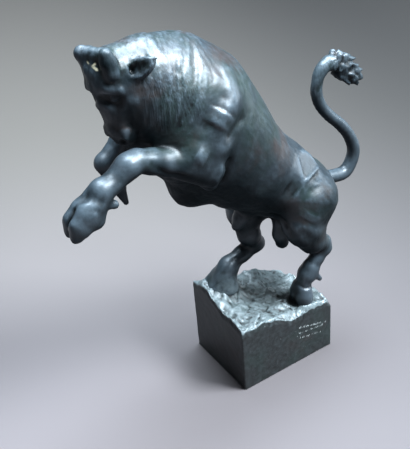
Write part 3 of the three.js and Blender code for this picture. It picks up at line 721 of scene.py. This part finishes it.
def makeBull(look):
    # The clay's skin, smoothed and laid back on the form, then its planes, relief, hair and lumps, and its marks
    clay = makeFigureClay(look)
    points, quads = clay.skin()
    for turn in range(2):
        points = clay.onto(points + 0.5 * (neighbourMean(points, quads) - points))
    normals = normalsOf(points, quads)
    print("figure modelled:", len(points), "points,", 2 * len(quads), "triangles")
    free = 1 - ((normals[:, 2] < -0.9) & (points[:, 2] < look["soleBelow"]))
    points = pressFlats(points, normals)
    points = points + (modelRelief(points, look) * free)[:, None] * normals
    normals = normalsOf(points, quads)
    lie, depth = hairOn(points, normals, look)
    coarse, fine = (strands(points, lie, *look[hair]) for hair in ("coarseHair", "fineHair"))
    hair = depth * (-look["coarseCut"] * np.maximum(0, coarse - look["hairLeft"]) + look["fineRise"] * fine)
    lumps = layered(points, grain, look["lumpGrains"]) + layered(points, dabs, look["lumpDabs"])
    x, z = points[:, 0], points[:, 2]
    foreLegs = smoothStep(*look["foreLegsFrom"], x) * smoothStep(*look["foreLegsUnder"], z)
    legs = np.maximum(foreLegs, smoothStep(*look["hindLegsUnder"], z))
    lumps = look["lumpRise"] * lumps * (1 - look["legCalm"] * legs)
    points = within(points + ((hair + lumps) * free)[:, None] * normals, "bull", look["boxMargin"])
    normals = normalsOf(points, quads)
    # Marks: under is painted shade on undersides and shaded places; earth gives the far foot the ground's pale tone,
    # partly a painted sheen
    place, reach, strength = look["moundDustAndSheen"]
    piece = makeMesh("bullFigure", points, quads, {
        "proud": swellOf(points, normals, quads, *look["proud"]),
        "broad": swellOf(points, normals, quads, *look["broad"]),
        "earth": strength * bell(points, place, reach), "bare": bareOn(points),
        "under": shadeOn(points, normals, quads, look), "strand": smoothStep(*look["longHair"], depth)})
    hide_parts("bull")
    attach(piece, "root")
    return piece


bullFigure = makeBull(figure)
print("bull made")

# The block, in millimetres: its sizes, corner heights and how worn it is
block = {
    "length": 115, "width": 90, "frontRight": 87, "frontLeft": 79, "rearLeft": 58, "rearRight": 48,
    "cell": 0.95, "fineCell": 0.48,   # fineness of its faces, and of the part with the rows of strokes
    "rowSteps": (0.0125, 0.0085, 0.3, 0.62),   # steps down the sides, the finer ones, and where those start and end
    "corner": 1.4,            # rounding of the upright corners
    "level": (13, 21),        # level ground round the near hoof, and where it has ended
    "waves": ((1.8, 13, 11, 4, 9), (1.1, 6, 6, 21, 3)),   # height, period along x and y, shift along x and y
    "chips": 1.0,             # depth of the ground's own roughness, made of the next four
    "facets": ((1.7, 17, 41), (0.7, 5, 52)), "bumps": ((1.1, 8, 51),), "grit": ((0.3, 2.8, 61),),
    "streaks": ((1.6, 15, 13, 3.2, 8, 77), (1.8, -36, 17, 3.0, 17, 78)),   # height, then what rayed asks
    "bend": (2.5, 9, 31, 32),   # how far dabs and bumps are pushed about: distance, period, seeds
    "hoofCalm": 0.6,          # how much less rough the level ground is
    "ringPlace": (-11, 24), "ring": (1.9, 4, 1.3), "pit": (1.2, 2),   # height, radius and width; depth and radius
    "rimChips": ((2.6, 13, 33, 0.25), (1.6, 5, 34, 0)), "rimReach": 3.2,   # height, period, seed, and noise added
    "rimWear": ((1.5, 10, 35, 0.3), (0.7, 4, 36, 0)), "rimLeast": 0.6,   # how far the upper edges are drawn in
    "rimDown": 6, "rimIn": 5,   # how far down and inwards that reaches
    "proud": (5, 0.35), "broad": (40, 2.5),   # turns of averaging, and the height that counts as full
    "shade": (30, 34, 0.8, 12, 30),   # painted shade on the ground: place, how y counts, full within, gone beyond
    "sideWear": ((-0.2, 16, 71), (-0.08, 4, 72)), "sideDepth": 0.15,   # shallow hollows of the upright faces
    "sideFrom": (3, 9), "sideTo": (0.3, 3),   # below the rim and above the foot where they begin, and are full
    "shadeDark": 0.75, "sideDark": 0.4,   # strength of the painted shade on that area, and on the upright faces
    "rowsFrom": 14.0, "rowsTo": 50.0, "rowHeights": (46.5, 39.0, 32.0), "rowFalls": (0.29, 0.17, 0.23),
    "strokeStep": 1.4, "strokeGap": 0.15, "strokeWidth": 0.42, "strokeDepth": 0.4,
    "strokeLean": 1.7, "strokeHalf": (0.7, 0.9),   # spread of lean in radians; half a stroke at least, and more
    "strokeFaint": 0.35, "speckDepth": 0.6,
}

# Swellings of the ground: middle x and y, reach in x and y, height
swellings = [
    (12, 42, 30, 16, 5), (-26, -44, 18, 12, 6), (10, -46, 9, 10, -3), (42, -44, 12, 10, 3), (-58, 6, 16, 26, 6),
    (58, -22, 14, 18, 6), (58, 20, 12, 14, 5), (-44, 27, 20, 18, 5), (4, -6, 22, 16, -3),
]

# Lumps laid on after the tread is levelled: the mound the far foot stands in, and clods by the near hoof
clods = [
    (-34, 15, 17, 15, 9), (-45, 29, 11, 10, 7), (52, -33, 4, 5, 5), (54, -41, 4, 3, 4), (31, -42, 8, 4, 4),
    (42, -41, 4, 3, 3), (24, -38, 4, 4, 3), (50, -22, 5, 4, 3), (-20, -30, 8, 5, 2), (2, -38, 6, 4, 2),
    (-42, -14, 6, 8, 2), (30, 8, 7, 5, 2),
]

# Pale specks of wear on the face with the strokes: x, z and size
specks = [
    (-10, 45, 0.8), (10, 44, 0.6), (-29, 73, 0.9), (-38, 30, 0.5), (22, 16, 0.6), (4, 60, 0.5), (31, 22, 0.5),
    (12, 36, 0.9), (-4, 20, 0.5),
]


def lattice(i, j):
    # Repeatable value from -1 to 1 for a pair of whole numbers, made as scatter's is
    s = np.sin(i * scatterSteps[0] + j * scatterSteps[1]) * scatterSpan
    return 2 * (s - np.floor(s)) - 1


def uneven(x, y):
    # Lattice values blended between the four neighbours with soft steps
    i, j = np.floor(x), np.floor(y)
    s, t = smoothStep(0, 1, x - i), smoothStep(0, 1, y - j)
    low = lattice(i, j) * (1 - s) + lattice(i + 1, j) * s
    high = lattice(i, j + 1) * (1 - s) + lattice(i + 1, j + 1) * s
    return low * (1 - t) + high * t


def heaped(x, y, heaps):
    # Sum of bells, each its height times exp(-(dx / reach)^2 - (dy / reach)^2)
    return sum(height * np.exp(-((x - cx) / rx) ** 2 - ((y - cy) / ry) ** 2) for cx, cy, rx, ry, height in heaps)


def rayed(x, y, cx, cy, spread, reach, seed):
    # Blades and streaks that run out from a middle: noise over the angle, strongest at the distance reach
    away = np.hypot(x - cx, y - cy)
    angle = np.arctan2(y - cy, x - cx)
    around = np.stack([np.cos(angle) * spread, np.sin(angle) * spread, away / 14], 1)
    return grain(around, 1, seed) * np.exp(-((away - reach) / (0.75 * reach)) ** 2)


def bitten(points, layers):
    # Bites out of an edge: the sum of each layer's height times its noise plus more, where that isn't below 0
    return sum(height * np.maximum(0, grain(points, period, seed) + more) for height, period, seed, more in layers)


def groundHeight(x, y, look):
    # Corner heights blended across the block, with bell-shaped swellings, unevenness, a level tread under the near
    # hoof, clods, tool dabs, streaks, a ringed pit and chipped edges
    s, t = x / look["length"] + 0.5, y / look["width"] + 0.5
    left = look["frontLeft"] * (1 - s) + look["rearLeft"] * s
    right = look["frontRight"] * (1 - s) + look["rearRight"] * s
    h = left * (1 - t) + right * t + heaped(x, y, swellings)
    for height, alongX, alongY, shiftX, shiftY in look["waves"]:
        h = h + height * uneven(x / alongX + shiftX, y / alongY + shiftY)
    fx, fy = figure["nearFoot"]
    hold = 1 - smoothStep(*look["level"], np.hypot(x - fx, y - fy))
    h = h * (1 - hold) + figure["nearLevel"] * hold + heaped(x, y, clods)
    flat = np.stack([x, y, 0 * x], 1)
    push, period, *seeds = look["bend"]
    bent = flat + push * np.stack([*(grain(flat, period, seed) for seed in seeds), 0 * x], 1)
    rough = layered(bent, dabs, look["facets"]) + layered(bent, grain, look["bumps"])
    rough = rough + layered(flat, grain, look["grit"])
    rough = rough + sum(height * rayed(x, y, *streak) for height, *streak in look["streaks"])
    h = h + look["chips"] * rough * (1 - look["hoofCalm"] * hold)
    away = np.hypot(x - look["ringPlace"][0], y - look["ringPlace"][1])
    (height, radius, width), (depth, reach) = look["ring"], look["pit"]
    h = h + height * np.exp(-((away - radius) / width) ** 2) - depth * np.exp(-(away / reach) ** 2)
    rimAway = np.minimum(look["length"] / 2 - np.abs(x), look["width"] / 2 - np.abs(y))
    return h - bitten(flat, look["rimChips"]) * np.exp(-rimAway / look["rimReach"])


def fineSteps(start, end, coarse, fine, fineStart, fineEnd):
    # Places along a side, closer together between fineStart and fineEnd
    parts = ((start, fineStart, coarse), (fineStart, fineEnd, fine), (fineEnd, end, coarse))
    runs = [np.linspace(a, b, max(2, round((b - a) / step) + 1))[:-1] for a, b, step in parts]
    return np.concatenate(runs + [[end]])


def strokesOn(points, look):
    # Rows of short shallow strokes, no letters, most of them near upright, and specks on the face towards -y: how
    # deep each point is in one, from exp(-(distance / width)^2)
    near = points[:, 1] < -look["width"] / 2 + 1
    spots = points[near]
    depth = np.zeros(len(spots))
    shortest, more = look["strokeHalf"]
    for row, (level, fall) in enumerate(zip(look["rowHeights"], look["rowFalls"])):
        places = np.arange(look["rowsFrom"], look["rowsTo"] - 3 * row, look["strokeStep"])
        count = np.arange(len(places))
        angles, gaps, drops = (0.5 + 0.5 * lattice(count, seed + 10 * row) for seed in (5, 6, 7))
        for x, angle, gap, drop in zip(places, angles, gaps, drops):
            if gap < look["strokeGap"]:
                continue
            lean = math.pi / 2 + look["strokeLean"] * (angle - 0.5)
            half = np.array([math.cos(lean), 0, math.sin(lean)]) * (shortest + more * gap * drop)
            height = level - fall * (x - look["rowsFrom"]) + drop - 0.5
            middle = np.array([x + gap, -look["width"] / 2, height])
            away = fromLine(spots, [middle - half, middle + half])[0]
            strength = look["strokeFaint"] + (1 - look["strokeFaint"]) * gap
            depth = np.maximum(depth, strength * np.exp(-(away / look["strokeWidth"]) ** 2))
    for x, z, size in specks:
        depth = np.maximum(depth, look["speckDepth"] * bell(spots[:, [0, 2]], (x, z), size))
    whole = np.zeros(len(points))
    whole[near] = depth
    return whole


def makePlinth(look):
    # One closed skin: the ground as a grid, the sides as rows between its rim and the foot, and a flat underside
    halfLength, halfWidth, cell = look["length"] / 2, look["width"] / 2, look["cell"]
    xs = fineSteps(-halfLength, halfLength, cell, look["fineCell"], look["rowsFrom"] - 2, look["rowsTo"] + 1)
    ys = fineSteps(-halfWidth, halfWidth, cell, cell, -20, 20)
    nx, ny = len(xs) - 1, len(ys) - 1
    x, y = (g.ravel() for g in np.meshgrid(xs, ys))
    top = np.stack([x, y, groundHeight(x, y, look)], 1)
    grid = np.arange((nx + 1) * (ny + 1)).reshape(ny + 1, nx + 1)
    topFaces = np.stack([grid[:-1, :-1], grid[:-1, 1:], grid[1:, 1:], grid[1:, :-1]], -1).reshape(-1, 4)
    rim = np.concatenate([grid[0, :-1], grid[:-1, -1], grid[-1, :0:-1], grid[:0:-1, 0]])
    part = fineSteps(0, 1, *look["rowSteps"])[1:, None]
    rows = len(part)
    ring = top[rim]
    wide = (rows, len(rim))
    ringX, ringY = (np.broadcast_to(ring[:, k], wide) for k in (0, 1))
    sides = np.stack([ringX, ringY, ring[:, 2] * (1 - part)], -1).reshape(-1, 3)
    number = np.concatenate([rim[None], len(top) + np.arange(rows * len(rim)).reshape(rows, -1)])
    after = np.roll(number, -1, axis=1)
    sideFaces = np.stack([after[:-1], number[:-1], number[1:], after[1:]], -1).reshape(-1, 4)
    # The underside has the ground's grid again, inside the last row
    under = np.stack([x, y, 0 * x], 1)
    inner = np.full((ny + 1) * (nx + 1), -1)
    inner[rim] = number[-1]
    keep = inner < 0
    inner[keep] = len(top) + len(sides) + np.arange(keep.sum())
    inner = inner.reshape(ny + 1, nx + 1)
    underFaces = np.stack([inner[:-1, :-1], inner[1:, :-1], inner[1:, 1:], inner[:-1, 1:]], -1).reshape(-1, 4)
    points = np.concatenate([top, sides, under[keep]])
    quads = np.concatenate([topFaces, sideFaces, underFaces])
    # How far below the rim each point is, and whether it is of the ground
    below = np.concatenate([np.zeros(len(top)), (ring[:, 2] * part).ravel(), np.full(keep.sum(), farAway)])
    earth = np.concatenate([np.ones(len(top)), np.zeros(len(sides) + keep.sum())])
    points = roundCorners(points, look)
    points = wearRim(points, below, look)
    normals = normalsOf(points, quads)
    # Shallow hollows on the upright faces, and the strokes: inwards only, so the block keeps its size
    upright = smoothStep(*look["sideFrom"], below) * smoothStep(*look["sideTo"], points[:, 2])
    wear = np.minimum(0, layered(points, grain, look["sideWear"]) - look["sideDepth"])
    strokes = strokesOn(points, look)
    points = points + (upright * (wear - look["strokeDepth"] * strokes))[:, None] * normals * (1, 1, 0)
    normals = normalsOf(points, quads)
    # Painted shade in the under mark: the ground darkened round the shade area, and the upright faces darkened all over
    earth = neighbourMean(earth, quads)
    shadeX, shadeY, drawn, dark, light = look["shade"]
    shade = smoothStep(light, dark, np.hypot(points[:, 0] - shadeX, drawn * (points[:, 1] - shadeY)))
    piece = makeMesh("plinthBlock", points, quads, {
        "proud": swellOf(points, normals, quads, *look["proud"]) * (0.3 + 0.7 * earth),
        "broad": swellOf(points, normals, quads, *look["broad"]) * earth,
        "earth": earth, "bare": strokes, "strand": 0 * earth,
        "under": look["shadeDark"] * earth * shade + look["sideDark"] * (1 - earth)})
    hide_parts("plinth")
    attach(piece, "root")
    print("plinth:", len(points), "points,", 2 * len(quads), "triangles")
    return piece


def wearRim(points, below, look):
    # The upper edges are drawn in unevenly, most at the rim and nothing a little below it
    worn = (look["rimLeast"] + bitten(points, look["rimWear"])) * (1 - smoothStep(0, look["rimDown"], below))
    points = points.copy()
    for axis, size in ((0, look["length"]), (1, look["width"])):
        edge = smoothStep(size / 2 - look["rimIn"], size / 2, np.abs(points[:, axis]))
        points[:, axis] -= np.sign(points[:, axis]) * worn * edge
    return points


def roundCorners(points, look):
    # Beyond the corner's centre in both x and y, a point is drawn in to the corner's radius
    r = look["corner"]
    size = np.abs(points[:, :2])
    inner = np.minimum(size, np.array([look["length"] / 2 - r, look["width"] / 2 - r]))
    beyond = size - inner
    far = np.maximum(np.hypot(beyond[:, 0], beyond[:, 1]), r)
    points = points.copy()
    points[:, :2] = np.sign(points[:, :2]) * (inner + beyond * (r / far)[:, None])
    return points


plinthBlock = makePlinth(block)
print("plinth made")


def addNode(tree, kind, settings=None, **values):
    # A node with its settings, and its inputs set by name or linked where the value is a socket
    node = tree.nodes.new(kind)
    for key, value in (settings or {}).items():
        setattr(node, key, value)
    for key, value in values.items():
        socket = node.inputs[int(key[2:])] if key.startswith("in") else node.inputs[key.replace("_", " ")]
        if isinstance(value, bpy.types.NodeSocket):
            tree.links.new(value, socket)
        else:
            socket.default_value = value
    return node


def mathNode(tree, operation, a, b=0.0, clamp=False):
    # One operation on two values
    node = addNode(tree, "ShaderNodeMath", {"operation": operation, "use_clamp": clamp}, in0=a, in1=b)
    return node.outputs[0]


def rangeNode(tree, value, low, high, newLow=0.0, newHigh=1.0):
    # newLow at low, newHigh at high, and a soft step between
    node = addNode(tree, "ShaderNodeMapRange", {"interpolation_type": "SMOOTHSTEP"}, in0=value, in1=low, in2=high,
                   in3=newLow, in4=newHigh)
    return node.outputs[0]


def mixNode(tree, factor, a, b, blend="MIX"):
    # Colour a where the factor is 0, and b laid on it by the factor
    node = tree.nodes.new("ShaderNodeMix")
    node.data_type = "RGBA"
    node.blend_type = blend
    for socket, value in ((node.inputs[0], factor), (node.inputs[6], a), (node.inputs[7], b)):
        if isinstance(value, bpy.types.NodeSocket):
            tree.links.new(value, socket)
        else:
            socket.default_value = value
    return node.outputs[2]


def noiseNode(tree, vector, scale, detail, rough):
    node = addNode(tree, "ShaderNodeTexNoise", None, Vector=vector, Scale=scale, Detail=detail, Roughness=rough)
    return node.outputs[0]


# Finishes: the patina group's colours and amounts for each piece, and how strongly the cast skin shows
bullFinish = {
    "Ground": (0.013, 0.019, 0.024, 1), "Green": (0.012, 0.023, 0.021, 1), "Brown": (0.026, 0.02, 0.019, 1),
    "Worn": (0.06, 0.082, 0.1, 1), "HollowAndShade": (0.002, 0.0035, 0.0038, 1), "DustAndSheen": (0.12, 0.15, 0.155, 1),
    "Metal": (0.5, 0.44, 0.3, 1), "Wear": 0.6, "Polish": 0.38, "Size": 1.0,
}
plinthFinish = {
    "Ground": (0.018, 0.02, 0.0195, 1), "Green": (0.017, 0.028, 0.024, 1), "Brown": (0.026, 0.021, 0.019, 1),
    "Worn": (0.15, 0.18, 0.19, 1), "HollowAndShade": (0.003, 0.004, 0.004, 1), "DustAndSheen": (0.12, 0.15, 0.155, 1),
    "Metal": (0.4, 0.43, 0.42, 1), "Wear": 0.95, "Polish": 0.46, "Size": 1.2,
}
castSkin = {"waxedBronze": 0.8, "roughBronze": 0.7}
skinDepth = 0.0008                # metres

# What both bronzes share: little shine of their own, tinted blue, under a soft wax coat
bronzeShader = {
    "Metallic": 0.05, "Specular_IOR_Level": 0.08, "Specular_Tint": (0.55, 0.78, 1, 1), "Coat_Roughness": 0.43,
}

# The patina's noises: scale in waves per metre, detail and roughness
patinaNoises = {
    "cloud": (17.0, 3.0, 0.55), "stain": (26.0, 4.0, 0.55), "mottle": (150.0, 4.0, 0.6), "speck": (620.0, 2.0, 0.6),
    "comb": (620.0, 2.0, 0.55),
}

# Its ramps: the value where each starts and ends, and what it gives there if that isn't 0 and 1
patinaRamps = {
    "green": (0.45, 0.68), "brown": (0.5, 0.72), "scuffed": (0.35, 0.7, 0.0, 0.15), "worn": (0.1, 1.9),
    "dustAndSheenPatches": (0.35, 0.62, 0.1, 0.75), "hollow": (-0.15, -1.6), "metal": (0.25, 0.8),
    "mottledPolish": (0.3, 0.75, -0.07, 0.1), "hollowPolish": (0.0, -1.5, 0.0, 0.22),
}
markNames = ("proud", "broad", "earth", "bare", "under", "strand")


def makePatinaGroup():
    # Old bronze: a dark ground clouded green and brown, paler where it stands proud, dust and a painted sheen on the
    # earth, darker in hollows, painted shade on undersides, bare on scratches and on one painted highlight, with a
    # mottled polish, a wax coat and a fine cast skin
    group = bpy.data.node_groups.new("bronzePatina", "ShaderNodeTree")
    face = group.interface
    for name, value in [*((mark.capitalize(), 0.0) for mark in markNames), *bullFinish.items()]:
        kind = "NodeSocketColor" if isinstance(value, tuple) else "NodeSocketFloat"
        socket = face.new_socket(name, in_out="INPUT", socket_type=kind)
        socket.default_value = value
    for name in ("Colour", "Roughness", "Wax", "Height"):
        kind = "NodeSocketColor" if name == "Colour" else "NodeSocketFloat"
        face.new_socket(name, in_out="OUTPUT", socket_type=kind)
    start = group.nodes.new("NodeGroupInput").outputs
    end = group.nodes.new("NodeGroupOutput").inputs

    def plus(a, b):
        return mathNode(group, "ADD", a, b)

    def minus(a, b):
        return mathNode(group, "SUBTRACT", a, b)

    def times(a, b, clamp=False):
        return mathNode(group, "MULTIPLY", a, b, clamp)

    def noise(vector, name):
        return noiseNode(group, vector, *patinaNoises[name])

    def ramp(value, name):
        return rangeNode(group, value, *patinaRamps[name])

    place = addNode(group, "ShaderNodeTexCoord").outputs["Object"]
    place = addNode(group, "ShaderNodeVectorMath", {"operation": "SCALE"}, in0=place, Scale=start["Size"]).outputs[0]
    shifted = addNode(group, "ShaderNodeMapping", None, Vector=place, Location=(3.1, 1.7, 0.4)).outputs[0]
    # Fine strands: noise drawn out downwards, a little to the front
    combed = addNode(group, "ShaderNodeMapping", None, Vector=place, Rotation=(0, 0.2, 0), Scale=(1, 1, 0.07))
    mottle = noise(place, "mottle")
    strand = times(minus(noise(combed.outputs[0], "comb"), 0.5), start["Strand"])
    raised = plus(start["Proud"], times(start["Broad"], 0.6))
    # The earth counts as raised, so the ground turns paler: wear and partly a painted sheen of its lit top
    raised = plus(raised, start["Earth"])
    raised = plus(raised, times(minus(mottle, 0.5), 2.0))
    raised = plus(raised, times(strand, 5.0))
    tone = mixNode(group, ramp(noise(place, "cloud"), "green"), start["Ground"], start["Green"])
    tone = mixNode(group, ramp(noise(shifted, "stain"), "brown"), tone, start["Brown"])
    tone = mixNode(group, ramp(mottle, "scuffed"), tone, start["Worn"])
    tone = mixNode(group, times(ramp(raised, "worn"), start["Wear"]), tone, start["Worn"])
    # Dust on the earth, partly a painted sheen
    tone = mixNode(group, times(start["Earth"], ramp(mottle, "dustAndSheenPatches"), True), tone, start["DustAndSheen"])
    tone = mixNode(group, ramp(raised, "hollow"), tone, start["HollowAndShade"])
    # Painted shade: the under mark darkens the colour towards the hollow colour
    tone = mixNode(group, times(start["Under"], 0.9), tone, start["HollowAndShade"])
    tone = mixNode(group, ramp(start["Bare"], "metal"), tone, start["Metal"])
    polish = plus(start["Polish"], ramp(mottle, "mottledPolish"))
    polish = plus(polish, ramp(raised, "hollowPolish"))
    polish = plus(polish, times(start["Under"], 0.28))
    skin = plus(times(mottle, 0.7), times(noise(place, "speck"), 0.3))
    skin = plus(skin, times(strand, 2.2))
    for name, value in (("Colour", tone), ("Roughness", polish), ("Wax", minus(1.0, start["Under"])), ("Height", skin)):
        group.links.new(value, end[name])
    return group


patinaGroup = makePatinaGroup()


def makeBronze(name, finish):
    # The patina group reads the piece's marks and gives colour, roughness, wax and the height of the cast skin
    material = bpy.data.materials.new(name)
    material.use_nodes = True
    tree = material.node_tree
    tree.nodes.clear()
    patina = tree.nodes.new("ShaderNodeGroup")
    patina.node_tree = patinaGroup
    for mark in markNames:
        reader = addNode(tree, "ShaderNodeAttribute", {"attribute_name": mark})
        tree.links.new(reader.outputs["Fac"], patina.inputs[mark.capitalize()])
    for key, value in finish.items():
        patina.inputs[key].default_value = value
    given = patina.outputs
    relief = addNode(tree, "ShaderNodeBump", None, Strength=castSkin[name], Distance=skinDepth, Height=given["Height"])
    shader = addNode(tree, "ShaderNodeBsdfPrincipled", None, Base_Color=given["Colour"], Roughness=given["Roughness"],
                     Coat_Weight=given["Wax"], Normal=relief.outputs[0], **bronzeShader)
    output = addNode(tree, "ShaderNodeOutputMaterial")
    tree.links.new(shader.outputs[0], output.inputs["Surface"])
    return material


bullFigure.data.materials.append(makeBronze("waxedBronze", bullFinish))
plinthBlock.data.materials.append(makeBronze("roughBronze", plinthFinish))
print("patina made")

# Pale floor with painted shade, a little darker towards the back and much darker to the right of the view, and
# soft lamps: place, aim, size, power, colour
studio = {
    "near": (0.131, 0.115, 0.119, 1), "far": (0.102, 0.092, 0.083, 1), "turn": -30.354,
    "left": (1, 0.985, 0.97, 1), "right": (0.22, 0.22, 0.227, 1),
    "depthRamp": (-0.1, 0.55), "sideRamp": (-0.25, 0.55), "slant": 0.3,   # metres, and how much depth turns the sides
    "half": 6, "drop": 0.0004, "roughness": 0.9,   # half the floor's side and how far it lies under the block, metres
    "lamps": {
        "topBox": ((0.1, 0.2, 1.45), (-0.02, 0, 0.25), 0.8, 84, (0.74, 0.88, 1)),
        "highWindow": ((0.62, -0.64, 1.3), (0, 0, 0.25), 0.5, 90, (0.8, 0.91, 1)),
        "lowWindow": ((1.25, -0.4, 0.42), (0, 0, 0.25), 0.6, 9, (0.84, 0.93, 1)),
    },
    "air": (0.6, 0.63, 0.68, 1), "airStrength": 0.07,
}


def makeStudio(look):
    # A floor whose colour, painted shade, is a ramp over the depth times a ramp over the side, square to the view,
    # lamps and dim air
    half = look["half"]
    mesh = bpy.data.meshes.new("studioFloor")
    corners = [(x * half, y * half, -look["drop"]) for x, y in ((-1, -1), (1, -1), (1, 1), (-1, 1))]
    mesh.from_pydata(corners, [], [(0, 1, 2, 3)])
    floor = bpy.data.objects.new("studioFloor", mesh)
    bpy.context.scene.collection.objects.link(floor)
    material = bpy.data.materials.new("floorPaper")
    material.use_nodes = True
    tree = material.node_tree
    tree.nodes.clear()
    place = addNode(tree, "ShaderNodeTexCoord").outputs["Object"]
    back = (0, 0, math.radians(-look["turn"]))
    turned = addNode(tree, "ShaderNodeMapping", None, Vector=place, Rotation=back).outputs[0]
    aside, depth = addNode(tree, "ShaderNodeSeparateXYZ", None, Vector=turned).outputs[:2]
    # Painted shade: the floor's colour falls off with depth, and towards the right
    colour = mixNode(tree, rangeNode(tree, depth, *look["depthRamp"]), look["near"], look["far"])
    slant = mathNode(tree, "ADD", aside, mathNode(tree, "MULTIPLY", depth, look["slant"]))
    sides = mixNode(tree, rangeNode(tree, slant, *look["sideRamp"]), look["left"], look["right"])
    colour = mixNode(tree, 1.0, colour, sides, "MULTIPLY")
    shader = addNode(tree, "ShaderNodeBsdfPrincipled", None, Base_Color=colour, Roughness=look["roughness"])
    output = addNode(tree, "ShaderNodeOutputMaterial")
    tree.links.new(shader.outputs[0], output.inputs["Surface"])
    mesh.materials.append(material)
    for name, (place, aim, size, power, colour) in look["lamps"].items():
        data = bpy.data.lights.new(name, "AREA")
        data.size, data.energy, data.color = size, power, colour
        lamp = bpy.data.objects.new(name, data)
        lamp.location = place
        lamp.rotation_euler = (Vector(aim) - Vector(place)).to_track_quat("-Z", "Y").to_euler()
        bpy.context.scene.collection.objects.link(lamp)
    world = bpy.data.worlds.new("studioAir")
    bpy.context.scene.world = world
    world.use_nodes = True
    background = world.node_tree.nodes["Background"]
    background.inputs[0].default_value = look["air"]
    background.inputs[1].default_value = look["airStrength"]


makeStudio(studio)
bpy.context.scene.view_settings.view_transform = "Standard"   # plain tones, as a camera gives them
print("studio made")
